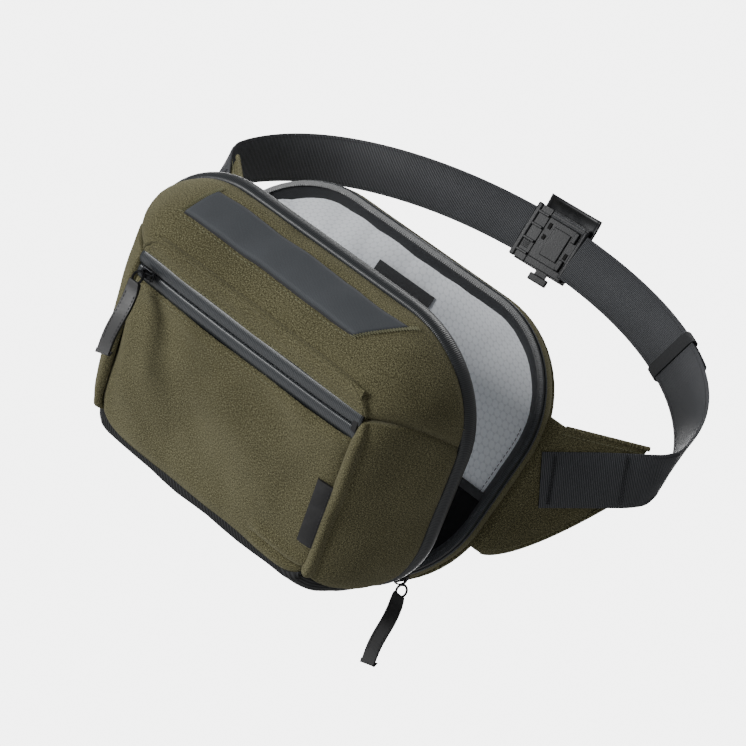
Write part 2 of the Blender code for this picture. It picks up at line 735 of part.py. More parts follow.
clear_scene()
FINISH = {
    "olive": material("olive_fabric", (0.075, 0.072, 0.035), 0.85),
    "base": material("black_ribbed_fabric", (0.014, 0.015, 0.017), 0.75),
    "tape": material("coated_zip_tape", (0.050, 0.052, 0.057), 0.35),
    "coil": material("zip_coil", (0.020, 0.021, 0.023), 0.40),
    "lining": material("grey_ripstop", (0.52, 0.54, 0.56), 0.60),
    "mesh": material("black_mesh", (0.010, 0.010, 0.011), 0.85),
    "binding": material("dark_binding", (0.030, 0.031, 0.033), 0.65),
    "webbing": material("charcoal_webbing", (0.028, 0.030, 0.034), 0.55),
    "rubber": material("black_rubber", (0.020, 0.020, 0.021), 0.50),
    "metal": material("black_metal", (0.030, 0.030, 0.032), 0.35, 1.0),
    "plastic": material("black_plastic", (0.018, 0.019, 0.021), 0.40),
}
build_all()
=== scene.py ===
"""Visual model of the open waist pack: sewn fabric panels, coated zips, webbing belt and buckle."""
import math

import bmesh
import bpy
from mathutils import Matrix, Vector, noise


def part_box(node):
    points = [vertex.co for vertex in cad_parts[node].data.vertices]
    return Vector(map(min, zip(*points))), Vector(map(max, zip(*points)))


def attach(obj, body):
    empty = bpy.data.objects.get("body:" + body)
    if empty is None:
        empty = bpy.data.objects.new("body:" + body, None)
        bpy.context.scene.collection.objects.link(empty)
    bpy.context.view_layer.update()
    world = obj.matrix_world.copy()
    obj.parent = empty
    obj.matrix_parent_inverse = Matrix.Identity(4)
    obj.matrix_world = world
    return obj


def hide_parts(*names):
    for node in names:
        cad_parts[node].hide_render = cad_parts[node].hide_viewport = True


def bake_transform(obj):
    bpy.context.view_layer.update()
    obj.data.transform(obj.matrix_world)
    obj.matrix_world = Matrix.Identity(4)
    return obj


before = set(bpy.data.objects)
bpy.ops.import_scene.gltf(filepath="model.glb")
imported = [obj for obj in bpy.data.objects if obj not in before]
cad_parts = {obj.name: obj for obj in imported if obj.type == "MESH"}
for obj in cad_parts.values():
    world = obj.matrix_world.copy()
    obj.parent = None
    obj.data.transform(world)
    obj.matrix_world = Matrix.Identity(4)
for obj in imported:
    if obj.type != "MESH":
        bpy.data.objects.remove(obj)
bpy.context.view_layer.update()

# Dimensions shared with the CAD model, in metres
RIM_WIDTH, RIM_HEIGHT = 0.284, 0.212
HALF_RIM = RIM_HEIGHT / 2
TOP_RADIUS, BOTTOM_RADIUS = 0.078, 0.080
BACK_PAD = 0.010
MOUTH_Y = -0.022
PARTING = 0.0010
SHELL_DEPTH = 0.062
SIDE_INSET, TOP_INSET, BOTTOM_INSET, FACE_RADIUS = 0.045, 0.034, 0.029, 0.020
FACE_WALL, FACE_CROWN = 0.003, 0.004
ZIP_LOW, ZIP_HIGH = 0.144, 0.163
ZIP_MIDDLE = (ZIP_LOW + ZIP_HIGH) / 2
OPEN_ANGLE = math.radians(30)
HINGE = Vector((0, MOUTH_Y - PARTING, -HALF_RIM))
TILT = Matrix.Translation(HINGE) @ Matrix.Rotation(OPEN_ANGLE, 4, "X")
WING_ANGLE = math.radians(39)
WING_START, WING_LENGTH, WING_THICK = 0.004, 0.056, 0.006
WING_HINGE_X, WING_HINGE_Y = RIM_WIDTH / 2 + 0.0045, -BACK_PAD / 2
WEB_WIDTH, WEB_THICK = 0.038, 0.0016
HOOP_DEPTH, HOOP_RISE, HOOP_CLEAR = 0.150, 0.100, 0.014
TAIL_LIFT, TAIL_SHARE = 0.0034, 0.44
BUCKLE_ANGLE = math.radians(97)
BUCKLE_LEFT, BUCKLE_RIGHT, BUCKLE_HEIGHT = 0.014, 0.034, 0.046

# Cloth, seams and trims of the visual model, in metres
RIM_BAND = 0.0125
CLOTH_THICK, LINING_THICK, TAPE_THICK = 0.0020, 0.0006, 0.0008
PANEL_PUFF, SEAM_SUNK, TAPE_TUCK, TAPE_GAP = 0.0018, 0.0009, 0.0006, 0.0002
TACK_RADIUS, CHANNEL_AT, SLIDER_X = 0.0003, 0.062, -0.0845
HANDLE_NEAR, HANDLE_FAR = 0.0255, 0.0480
HANDLE_LEFT, HANDLE_RIGHT = -0.080, 0.079
BELT_LOW, BELT_CLIMB = 0.022, 0.035
TOP_SEED = 2.0

# Camera: the view's angle, its roll, and where the origin sits off the picture's middle
CAMERA_DISTANCE, CAMERA_LENS, CAMERA_SENSOR = 1.5, 105.5, 36.0
CAMERA_AZIMUTH, CAMERA_ELEVATION, CAMERA_ROLL = 24.7, 4.6, 34.5
CAMERA_RIGHT, CAMERA_UP = 0.0152, 0.0044

# Light: strengths, and the backdrop area's soft edge as cosines from the view direction
STUDIO_LIGHT, BACKDROP_LIGHT = 0.22, 5.4
BACKDROP_OUTER, BACKDROP_INNER = 0.91, 0.958
KEY_POWER, RIM_POWER = 31, 10

QUARTER_TURN = math.pi / 2


# ------------------------------------------------------------------ materials
class Shader:
    """Builds the nodes of one material."""

    def __init__(self, name):
        self.mat = bpy.data.materials.new(name)
        self.mat.use_nodes = True
        self.nodes, self.links = self.mat.node_tree.nodes, self.mat.node_tree.links
        self.inputs = self.nodes["Principled BSDF"].inputs

    def feed(self, socket, value):
        """Link a socket to another one, or set it to a plain value."""
        if isinstance(value, bpy.types.NodeSocket):
            self.links.new(value, socket)
        else:
            socket.default_value = value

    def node(self, kind, **inputs):
        node = self.nodes.new("ShaderNode" + kind)
        for key, value in inputs.items():
            self.feed(node.inputs[key], value)
        return node

    def weave(self, across=1, down=1):
        """Cloth coordinates in metres, times a scale on each axis."""
        source = self.node("Attribute")
        source.attribute_name = "weave"
        mapping = self.node("Mapping", Vector=source.outputs["Vector"], Scale=(across, down, 1))
        return mapping.outputs["Vector"]

    def place(self):
        return self.node("TexCoord").outputs["Object"]

    def noise(self, vector, scale=1.0, detail=2.0):
        return self.node("TexNoise", Vector=vector, Scale=scale, Detail=detail, Roughness=0.6).outputs["Fac"]

    def wave(self, direction, scale, distortion):
        node = self.node("TexWave", Vector=self.weave(), Scale=scale, Distortion=distortion, Detail=1.0)
        node.bands_direction = direction
        return node.outputs["Fac"]

    def math(self, kind, *values):
        node = self.nodes.new("ShaderNodeMath")
        node.operation = kind
        for socket, value in zip(node.inputs, values):
            self.feed(socket, value)
        return node.outputs[0]

    def plus(self, first, second):
        return self.math("ADD", first, second)

    def times(self, first, second):
        return self.math("MULTIPLY", first, second)

    def uneven(self, scale, middle, amount):
        """Broad unevenness about zero."""
        broad = self.noise(self.place(), scale, detail=3.0)
        return self.times(self.math("SUBTRACT", broad, middle), amount)

    def ramp(self, factor, *stops):
        node = self.node("ValToRGB", Fac=factor)
        elements = node.color_ramp.elements
        while len(elements) < len(stops):
            elements.new(0.5)
        for element, (place, colour) in zip(elements, stops):
            element.position = place
            element.color = (*colour, 1.0)
        return node.outputs["Color"]

    def bump(self, height, strength, distance):
        node = self.node("Bump", Height=height, Strength=strength, Distance=distance)
        return node.outputs["Normal"]

    def finish(self, inputs):
        for key, value in inputs.items():
            self.feed(self.inputs[key], value)
        return self.mat


def melange(name, dark, mid, light):
    """Two-tone woven cloth: crossed yarns of several shades with a soft nap."""
    fine, coarse = 2100, 900
    make = Shader(name)
    warp = make.noise(make.weave(fine, coarse))
    weft = make.noise(make.weave(coarse, fine))
    yarn = make.times(make.plus(warp, weft), 0.5)
    tone = make.plus(yarn, make.uneven(14.0, middle=0.5, amount=0.10))
    twill = make.wave("DIAGONAL", 560.0, distortion=0.6)
    height = make.plus(yarn, make.times(twill, 0.35))
    return make.finish({
        "Base Color": make.ramp(tone, (0.39, dark), (0.5, mid), (0.61, light)),
        "Normal": make.bump(height, 0.55, distance=0.0006),
        "Roughness": 0.92,
        "Specular IOR Level": 0.25,
        "Sheen Weight": 0.35,
        "Sheen Roughness": 0.55,
        "Sheen Tint": (0.62, 0.60, 0.42, 1)})


def ribbed(name, dark, light, direction, scale, rough, strength, spec=0.4, wear=0.25, coat=0.0):
    """Tape, webbing or ribbed cloth: regular ribs over a fine fibre noise."""
    make = Shader(name)
    ribs = make.wave(direction, scale, distortion=0.25)
    fibre = make.noise(make.weave(1500, 1500))
    tone = make.plus(make.times(ribs, 0.45), make.times(fibre, 0.35))
    tone = make.plus(tone, make.uneven(22.0, middle=0.4, amount=wear))
    height = make.plus(ribs, make.times(fibre, 0.3))
    return make.finish({
        "Base Color": make.ramp(tone, (0.2, dark), (0.75, light)),
        "Normal": make.bump(height, strength, distance=0.0005),
        "Roughness": rough,
        "Specular IOR Level": spec,
        "Coat Weight": coat,
        "Coat Roughness": 0.25})


def ripstop(name, ground, line):
    """Smooth light lining with a raised hexagon grid: three crossed waves."""
    make = Shader(name)
    pitch = 0.0054
    turns = 4 * math.pi / (math.sqrt(3) * pitch)
    total = None
    for direction in (0, 60, 120):
        angle = math.radians(direction)
        dot = make.node("VectorMath")
        dot.operation = "DOT_PRODUCT"
        make.feed(dot.inputs[0], make.weave())
        make.feed(dot.inputs[1], (math.cos(angle) * turns, math.sin(angle) * turns, 0))
        wave = make.math("COSINE", dot.outputs["Value"])
        total = make.plus(total, wave) if total else wave
    edge = make.times(make.plus(total, 1.5), 0.3)
    crinkle = make.noise(make.place(), 60.0, detail=5.0)
    height = make.plus(make.times(crinkle, 0.8), make.times(make.math("MINIMUM", edge, 0.24), 0.8))
    return make.finish({
        "Base Color": make.ramp(edge, (0.0, line), (0.13, line), (0.185, ground)),
        "Normal": make.bump(height, 0.35, distance=0.0009),
        "Roughness": 0.5,
        "Sheen Weight": 0.15})


def moulded(name, colour, rough, metallic=0.0, grain=900.0, strength=0.12, wear=0.06):
    """Moulded plastic, rubber or plated metal: fine grain and slightly uneven gloss."""
    make = Shader(name)
    fine = make.noise(make.place(), grain)
    broad = make.noise(make.place(), 90.0, detail=4.0)
    light = tuple(min(1.0, c + wear) for c in colour)
    glossy, dull = (rough - 0.08,) * 3, (rough + 0.08,) * 3
    return make.finish({
        "Base Color": make.ramp(broad, (0.45, colour), (0.85, light)),
        "Roughness": make.ramp(broad, (0.3, glossy), (0.7, dull)),
        "Normal": make.bump(fine, strength, distance=0.0003),
        "Metallic": metallic})


OLIVE = melange("olive_fabric", (0.026, 0.024, 0.011), (0.108, 0.098, 0.046), (0.300, 0.285, 0.165))
BASE = ribbed("base_fabric", (0.006, 0.006, 0.007), (0.050, 0.052, 0.054), "DIAGONAL", 210.0, 0.6, 0.9)
# Pocket zip tape: the same dark coated tape as RIM_TAPE, its colours painted lighter as a painted highlight
# for the bright band along the zip
TAPE_WITH_PAINTED_HIGHLIGHT = ribbed("zip_tape", (0.020, 0.023, 0.027), (0.082, 0.091, 0.100), "X", 260.0, 0.30, 0.30,
              spec=0.6, wear=0.10, coat=0.5)
RIM_TAPE = ribbed("rim_tape", (0.012, 0.014, 0.016), (0.050, 0.056, 0.062), "X", 260.0, 0.36, 0.35,
                  spec=0.55, wear=0.10, coat=0.25)
COIL = moulded("zip_coil", (0.030, 0.032, 0.035), 0.38)
LINING = ripstop("ripstop_lining", (0.86, 0.89, 0.93), (0.72, 0.75, 0.79))
MESH = ribbed("black_mesh", (0.003, 0.003, 0.0035), (0.016, 0.016, 0.017), "Y", 420.0, 0.85, 0.3, spec=0.2)
BINDING = ribbed("binding", (0.018, 0.019, 0.021), (0.060, 0.062, 0.066), "X", 700.0, 0.6, 0.3)
WEBBING = ribbed("webbing", (0.015, 0.016, 0.019), (0.190, 0.198, 0.216), "X", 260.0, 0.46, 0.8, wear=0.12)
HANDLE = ribbed("handle_webbing", (0.050, 0.055, 0.062), (0.125, 0.137, 0.150), "X", 360.0, 0.6, 0.4)
RUBBER = moulded("rubber", (0.016, 0.016, 0.017), 0.48, grain=1400.0, strength=0.25, wear=0.03)
METAL = moulded("black_metal", (0.045, 0.046, 0.050), 0.33, metallic=1.0, wear=0.10)
PLASTIC = moulded("black_plastic", (0.013, 0.014, 0.017), 0.36, strength=0.2, wear=0.02)
# Strips along the buckle's rails: the gloss is the plastic's own, the lighter colour is a painted highlight
RAIL_HIGHLIGHT = moulded("rail_painted_highlight", (0.060, 0.063, 0.070), 0.22, wear=0.02)
# Near-black blocks set on the buckle plate where its slots are: painted shade inside the slots
SLOT_SHADE = moulded("slot_painted_shade", (0.002, 0.002, 0.002), 0.8, wear=0.0)
THREAD = moulded("olive_thread", (0.23, 0.23, 0.13), 0.7, grain=2500.0, strength=0.5)
DARK_THREAD = moulded("dark_thread", (0.035, 0.036, 0.040), 0.7, grain=2500.0, strength=0.5)

CLOTHS = (OLIVE, BASE, LINING, MESH)


# ------------------------------------------------------------------ mesh helpers
X, Y, Z = Vector((1, 0, 0)), Vector((0, 1, 0)), Vector((0, 0, 1))
BOX_FACES = ((0, 1, 3, 2), (4, 6, 7, 5), (0, 4, 5, 1), (2, 3, 7, 6), (0, 2, 6, 4), (1, 5, 7, 3))


def add_mesh(name, verts, faces, mat, weave=None, sharp=45):
    """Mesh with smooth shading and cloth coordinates."""
    mesh = bpy.data.meshes.new(name)
    mesh.from_pydata([tuple(v) for v in verts], [], faces)
    mesh.validate()
    mesh.shade_smooth()
    mesh.set_sharp_from_angle(angle=math.radians(sharp))
    layer = mesh.attributes.new("weave", "FLOAT_VECTOR", "POINT")
    if weave is None:
        weave = [(v[0], v[2], 0.0) for v in verts]
    layer.data.foreach_set("vector", [c for point in weave for c in point])
    mesh.materials.append(mat)
    obj = bpy.data.objects.new(name, mesh)
    bpy.context.collection.objects.link(obj)
    return obj


def solid_mesh(name, verts, faces, mat, weave=None, sharp=45):
    """Closed piece with all of its faces turned outwards."""
    obj = add_mesh(name, verts, faces, mat, weave, sharp)
    work = bmesh.new()
    work.from_mesh(obj.data)
    bmesh.ops.recalc_face_normals(work, faces=work.faces)
    work.to_mesh(obj.data)
    work.free()
    return obj


def finish_piece(obj, body, nodes=()):
    """Bind a piece to the CAD nodes it replaces and the body it rides on."""
    if nodes:
        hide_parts(*nodes)
    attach(obj, body)
    return obj


def make_grid(rows, cols, place):
    """Rows of points; place(down, across) takes shares from 0 to 1."""
    return [[place(i / rows, j / cols) for j in range(cols + 1)] for i in range(rows + 1)]


def ring_grid(levels, ring):
    """Rows of points from ring(share), a closed row at each level."""
    return [ring(i / levels) for i in range(levels + 1)]


def cloth_lengths(grid):
    """Cloth coordinates in metres for a grid of points: along its columns and its rows."""
    rows, cols = len(grid), len(grid[0])
    along = [[0.0] * cols for _ in range(rows)]
    down = [[0.0] * cols for _ in range(rows)]
    for i in range(rows):
        for j in range(cols):
            if j:
                along[i][j] = along[i][j - 1] + (grid[i][j] - grid[i][j - 1]).length
            if i:
                down[i][j] = down[i - 1][j] + (grid[i][j] - grid[i - 1][j]).length
    middle = cols // 2
    return [(along[i][j] - along[i][middle], down[i][j], 0.0) for i in range(rows) for j in range(cols)]


def path_length(line):
    return sum((b - a).length for a, b in zip(line, line[1:]))


def declare_cloth(grid, loop=False):
    """Work out the flat width and length that a sewn piece's grid unrolls to; the results are not used."""
    closed = [row + row[:1] if loop else row for row in grid]
    for upper, lower in zip(closed, closed[1:]):
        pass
    width = max(path_length(row) for row in closed)
    length = max(path_length(column) for column in zip(*grid))


def grid_mesh(name, grid, thick, offset, mat, loop=False, out=1.0):
    """Mesh of a grid of points, thickened; for cloth its flat size is worked out."""
    rows, cols = len(grid), len(grid[0])
    faces = []
    for i in range(rows - 1):
        for j in range(cols if loop else cols - 1):
            k = (j + 1) % cols
            face = (i * cols + j, i * cols + k, (i + 1) * cols + k, (i + 1) * cols + j)
            faces.append(face if out > 0 else face[::-1])
    obj = add_mesh(name, [p for row in grid for p in row], faces, mat, cloth_lengths(grid))
    solid = obj.modifiers.new("thickness", "SOLIDIFY")
    solid.thickness = thick
    solid.offset = offset
    if mat in CLOTHS:
        declare_cloth(grid, loop)
    return obj


def sheet_mesh(name, grid, thick, mat, body, nodes=(), loop=False, out=1.0):
    """Thick sheet whose thickness grows to the inner side."""
    return finish_piece(grid_mesh(name, grid, thick, -1.0, mat, loop, out), body, nodes)


def section_faces(count, size, closed=False):
    """Faces between rings of points, with the ends capped unless the line is closed."""
    faces = []
    for i in range(count if closed else count - 1):
        a, b = i * size, ((i + 1) % count) * size
        for j in range(size):
            k = (j + 1) % size
            faces.append((a + j, b + j, b + k, a + k))
    if not closed:
        faces.append(tuple(range(size)))
        faces.append(tuple((count - 1) * size + j for j in range(size - 1, -1, -1)))
    return faces


def sweep(name, line, profile, mat, body, nodes=(), up=Z, closed=False):
    """Closed profile (across, out) carried along a line of points."""
    verts, weave = [], []
    travelled, count = 0.0, len(line)
    for n, point in enumerate(line):
        ahead = line[(n + 1) % count] if closed else line[min(n + 1, count - 1)]
        behind = line[n - 1] if closed or n else line[0]
        tangent = (ahead - behind).normalized()
        across = (up - tangent * up.dot(tangent)).normalized()
        out = tangent.cross(across).normalized()
        if n:
            travelled += (point - line[n - 1]).length
        for a, b in profile:
            verts.append(point + across * a + out * b)
            weave.append((travelled, a, 0.0))
    obj = solid_mesh(name, verts, section_faces(count, len(profile), closed), mat, weave)
    return finish_piece(obj, body, nodes)


def rounded_strap(width, thick, steps=3):
    """Flat strap section with round edges."""
    points = []
    for side, start in ((1, -90), (-1, 90)):
        for n in range(steps + 1):
            angle = math.radians(start + 180 * n / steps)
            points.append((side * (width / 2 - thick / 2) + math.cos(angle) * thick / 2,
                           math.sin(angle) * thick / 2))
    return points


def flat_section(half_width, half_thick):
    return [(half_width, half_thick), (-half_width, half_thick),
            (-half_width, -half_thick), (half_width, -half_thick)]


def turns_round(count):
    """Cosine and sine of equal steps round a circle."""
    return [(math.cos(2 * math.pi * n / count), math.sin(2 * math.pi * n / count)) for n in range(count)]


def round_section(radius, sides=10):
    return [(radius * c, radius * s) for c, s in turns_round(sides)]


def signed_power(value, power):
    return math.copysign(abs(value) ** power, value)


def resample(line, step):
    """Points along a line at an even distance, with the directions there."""
    places, left = [], 0.0
    for a, b in zip(line, line[1:]):
        length = (b - a).length
        if length < 1e-9:
            continue
        direction = (b - a) / length
        at = left
        while at < length:
            places.append((a + direction * at, direction))
            at += step
        left = at - length
    return places


def stitches(name, line, normal, mat, body, pitch=0.0034, length=0.0024, radius=0.00028, lift=0.0002):
    """Row of short thread stitches along a line; normal is a direction or a function of a point."""
    verts, faces = [], []
    ring = turns_round(6)
    rings = ((-0.5, 0.45, -0.6), (-0.3, 1.0, 0.7), (0.3, 1.0, 0.7), (0.5, 0.45, -0.6))
    stitch_faces = section_faces(len(rings), len(ring))
    for point, along in resample(line, pitch):
        out = (normal(point) if callable(normal) else normal).normalized()
        side = along.cross(out).normalized()
        base = len(verts)
        for share, scale, rise in rings:
            middle = point + along * length * share + out * (lift + radius * rise)
            for a, b in ring:
                verts.append(middle + (side * a + out * b) * radius * scale)
        faces += [tuple(base + n for n in face) for face in stitch_faces]
    return finish_piece(solid_mesh(name, verts, faces, mat), body)


def zigzag(start, end, across, width, pitch):
    """Points of a bartack's zigzag between two places."""
    count = max(4, int((end - start).length / pitch))
    return [start + (end - start) * n / count + across * (width / 2 if n % 2 else -width / 2)
            for n in range(count + 1)]


def tube(name, line, radius, mat, body, nodes=(), closed=False, sides=8, up=Z):
    return sweep(name, line, round_section(radius, sides), mat, body, nodes, up=up, closed=closed)


def add_bevel(obj, width, segments):
    edges = obj.modifiers.new("edges", "BEVEL")
    edges.width = width
    edges.segments = segments
    return edges


def solid_block(name, centre, axes, size, mat, body, nodes=(), bevel=0.0006):
    """Bevelled block on three unit axes."""
    a, b, c = (Vector(axis) * (length / 2) for axis, length in zip(axes, size))
    verts = [Vector(centre) + i * a + j * b + k * c for i in (-1, 1) for j in (-1, 1) for k in (-1, 1)]
    obj = solid_mesh(name, verts, BOX_FACES, mat, sharp=30)
    add_bevel(obj, bevel, segments=3)
    return finish_piece(obj, body, nodes)


# ------------------------------------------------------------------ outlines of the bag
CORNER_STEPS, EDGE_STEPS = 16, 12


def rounded(half_width, low, high, low_radius, high_radius):
    """Rounded rectangle in X and Z, anticlockwise from the middle of its lower edge."""
    points = []

    def arc(cx, cz, radius, start):
        for step in range(CORNER_STEPS + 1):
            angle = math.radians(start + 90 * step / CORNER_STEPS)
            points.append((cx + radius * math.cos(angle), cz + radius * math.sin(angle)))

    def edge(x0, z0, x1, z1, first, last):
        for step in range(first, last):
            share = step / EDGE_STEPS
            points.append((x0 + (x1 - x0) * share, z0 + (z1 - z0) * share))

    lx, hx = half_width - low_radius, half_width - high_radius
    lz, hz = low + low_radius, high - high_radius
    edge(-lx, low, lx, low, EDGE_STEPS // 2, EDGE_STEPS)
    arc(lx, lz, low_radius, 270)
    edge(half_width, lz, half_width, hz, 1, EDGE_STEPS)
    arc(hx, hz, high_radius, 0)
    edge(hx, high, -hx, high, 1, EDGE_STEPS)
    arc(-hx, hz, high_radius, 90)
    edge(-half_width, hz, -half_width, lz, 1, EDGE_STEPS)
    arc(-lx, lz, low_radius, 180)
    edge(-lx, low, lx, low, 1, EDGE_STEPS // 2)
    return points


def mouth(inset=0.0):
    """Outline of the bag where its two halves meet."""
    return rounded(RIM_WIDTH / 2 - inset, -HALF_RIM + inset, HALF_RIM - inset,
                   BOTTOM_RADIUS - inset, TOP_RADIUS - inset)


def bulge(share):
    """Share of the inset that the shell has gained at a share of its depth."""
    def curve(s):
        return 0.3 * s + 0.7 * (1 - math.sqrt(max(0.0, 1 - (0.97 * s) ** 2)))
    return curve(share) / curve(1.0)


def shell_size(depth):
    """Half width, low, high and corner radii of the shell at a depth."""
    share = min(max(depth / SHELL_DEPTH, 0.0), 1.0)
    step = bulge(share)
    return (RIM_WIDTH / 2 - SIDE_INSET * step, BOTTOM_INSET * step, RIM_HEIGHT - TOP_INSET * step,
            BOTTOM_RADIUS + (FACE_RADIUS - BOTTOM_RADIUS) * share,
            TOP_RADIUS + (FACE_RADIUS - TOP_RADIUS) * share)


def shell_outline(depth, inset=0.0):
    half, low, high, low_radius, high_radius = shell_size(depth)
    return rounded(half - inset, low + inset, high - inset,
                   max(low_radius - inset, 0.004), max(high_radius - inset, 0.004))


OUTLINE = len(mouth())
SIDE_LOW = 6 + CORNER_STEPS // 2 + 1
SIDE_HIGH = 6 + CORNER_STEPS + 1 + EDGE_STEPS


def tilt(point):
    """Turn a place in the closed shell to its open position."""
    return TILT @ Vector(point)


def soft(point, size=0.03, amount=0.001, seed=0.0):
    """Gentle unevenness of cloth at a place."""
    return noise.noise(Vector(point) / size + Vector((seed, seed * 0.7, -seed))) * amount


def edge_fall(share, reach):
    """0 at both ends of a panel and 1 further in than reach."""
    near = min(share, 1 - share) / reach
    return 1.0 if near >= 1 else math.sin(near * QUARTER_TURN)


def wall_point(base, rise, ahead=Vector()):
    """Place off the shell's wall, pushed outwards and ahead, in the shell's open position."""
    out = Vector((base.x, base.y + 0.02, base.z - HALF_RIM)).normalized()
    return tilt(base + out * rise + ahead)


def wall_rise(base, puff, fall, seed):
    return puff * fall + (soft(base, 0.035, 0.0022, seed) + soft(base, 0.014, 0.0006, seed + 3)) * fall


def shell_panel(name, first, last, mat, seed, lip, forward, puff=PANEL_PUFF):
    """Wall panel of the front shell between two places on the outline, rolled over the face's edge."""
    levels, turns = 26, 8
    roll_angle = math.radians(130)
    start = RIM_BAND - 0.001
    grid = []
    for i in range(levels + turns + 1):
        share = min(i / levels, 1.0)
        angle = roll_angle * max(0, i - levels) / turns
        depth = start + (SHELL_DEPTH - start) * share
        rim_fall = math.sin(min(share / 0.14, 1.0) * QUARTER_TURN)
        lip_grow = lip * max(0.0, (share - 0.55) / 0.45) ** 1.5
        ring = shell_outline(depth)
        row = []
        for place in range(first, last + 1):
            x, z = ring[place % OUTLINE]
            across = (place - first) / (last - first)
            taper = edge_fall(across, 0.16)
            base = Vector((x, -depth, z))
            fall = edge_fall(across, 0.10) * rim_fall
            sunk = SEAM_SUNK * (1 - edge_fall(across, 0.05))
            rise = wall_rise(base, puff, fall, seed) * math.cos(angle * 0.7) - sunk
            rise += lip_grow * taper * math.cos(angle)
            ahead = (FACE_WALL * 0.4 + forward * taper) * math.sin(angle)
            row.append(wall_point(base, rise, Vector((0, -ahead, 0))))
        grid.append(row)
    return sheet_mesh(name, grid, CLOTH_THICK, mat, "front_shell", (name,))


def face_half(height):
    """Half width of the front face at a height."""
    half, low, high, low_radius, high_radius = shell_size(SHELL_DEPTH)
    if height < low + low_radius:
        radius, drop = low_radius, low + low_radius - height
    elif height > high - high_radius:
        radius, drop = high_radius, height - high + high_radius
    else:
        return half
    drop = min(drop, radius)
    return half - radius + math.sqrt(radius * radius - drop * drop)


def face_depth(x, height):
    half, low, high = shell_size(SHELL_DEPTH)[:3]
    along = (2 * height - low - high) / (high - low)
    return SHELL_DEPTH + FACE_WALL + FACE_CROWN * (1 - (x / half) ** 2) * (1 - along ** 2)


def face_point(x, height, rise=0.0):
    return tilt((x, -face_depth(x, height) - rise, height))


FACE_OUT = (TILT.to_3x3() @ -Y).normalized()
FACE_DOWN = (TILT.to_3x3() @ -Z).normalized()


def face_piece(name, low, high, rows, cols, mat, shape, nodes=None, narrow=0.0, thick=CLOTH_THICK):
    """Sheet on the front face; shape(x, height, across, up) gives its rise."""
    def place(up, across):
        height = low + (high - low) * up
        x = (face_half(height) - narrow) * (2 * across - 1)
        return face_point(x, height, shape(x, height, across, up))
    return sheet_mesh(name, make_grid(rows, cols, place), thick, mat, "front_shell", nodes or (name,))


# ------------------------------------------------------------------ front shell
def crease(distance, width, depth):
    """Depth of a soft fold line at a distance from it."""
    return -depth * math.exp(-(distance / width) ** 2)


def front_shape(x, height, across, up):
    """Rise of the large pocket panel: sewn edges, a dart at the right, slack folds low down."""
    fall = edge_fall(across, 0.07) * (0.35 + 0.65 * edge_fall(up, 0.08))
    rise = 0.0022 * fall - 0.0016 * (1 - edge_fall(across, 0.03))
    rise += 0.0016 * math.exp(-((up - 0.97) / 0.06) ** 2)
    rise += soft((x, 0, height), 0.045, 0.0030, 1.7) * fall
    rise += soft((x, 0, height), 0.016, 0.0007, 5.1) * fall
    low = height - BOTTOM_INSET
    dart_start = 0.045
    if x > dart_start:
        grow = min(1.0, (x - dart_start) / 0.012)
        dart = crease(low - 0.0095, 0.0016, 0.0036)
        dart -= crease(low - 0.0150, 0.0050, 0.0022) + crease(low - 0.0030, 0.0040, 0.0020)
        rise += dart * grow
    slack = crease(x + 0.080 + low * 0.25, 0.005, 0.0018)
    return rise + slack * math.exp(-((height - 0.10) / 0.05) ** 2)


def strip_shape(x, height, across, up):
    """Narrow strip above the pocket's zip, tucked under the top panel's edge."""
    return (0.0012 * math.sin(math.pi * min(1.0, up * 1.3)) - 0.0026 * max(0.0, up - 0.55)
            + soft((x, 0, height), 0.03, 0.0010, 2.2) * edge_fall(across, 0.06))


def tape_shape(sign):
    """Rise of a zip tape that climbs towards the zip's middle."""
    def shape(x, height, across, up):
        share = up if sign > 0 else 1 - up
        arch = 0.0027 * math.sin(math.pi * (0.15 + 0.75 * share))
        return arch - 0.0012 + soft((x, 0, height), 0.05, 0.0007, 4)
    return shape


def build_front_shell():
    right, left = SIDE_HIGH, OUTLINE - SIDE_HIGH
    shell_panel("side_panel_right", SIDE_LOW, right, OLIVE, 1.0, lip=0.0050, forward=0.0062)
    shell_panel("top_panel", right, left, OLIVE, TOP_SEED, lip=0.0018, forward=0.0042)
    shell_panel("side_panel_left", left, OUTLINE - SIDE_LOW, OLIVE, 3.0, lip=0.0044, forward=0.0055)
    shell_panel("base_panel", OUTLINE - SIDE_LOW, OUTLINE + SIDE_LOW, BASE, 4.0, lip=0.0062,
                forward=0.0030, puff=0.0006)
    low, high = shell_size(SHELL_DEPTH)[1:3]
    face_piece("front_panel", low, ZIP_LOW + TAPE_TUCK, 60, 90, OLIVE, front_shape)
    face_piece("upper_strip", ZIP_HIGH - TAPE_TUCK, high, 14, 80, OLIVE, strip_shape)
    # The pocket's zip tapes take the lightened tape colour, a painted highlight
    face_piece("pocket_tape_lower", ZIP_LOW - 0.001, ZIP_MIDDLE - TAPE_GAP, 8, 70, TAPE_WITH_PAINTED_HIGHLIGHT, tape_shape(-1),
               thick=TAPE_THICK)
    face_piece("pocket_tape_upper", ZIP_MIDDLE + TAPE_GAP, ZIP_HIGH + 0.001, 8, 70, TAPE_WITH_PAINTED_HIGHLIGHT, tape_shape(1),
               ("pocket_tape_upper", "pocket_zip_coil"), thick=TAPE_THICK)
    fold_edge()
    build_rim()
    build_shell_lining()
    build_handle()
    build_loop_tab()
    build_shell_stitching()


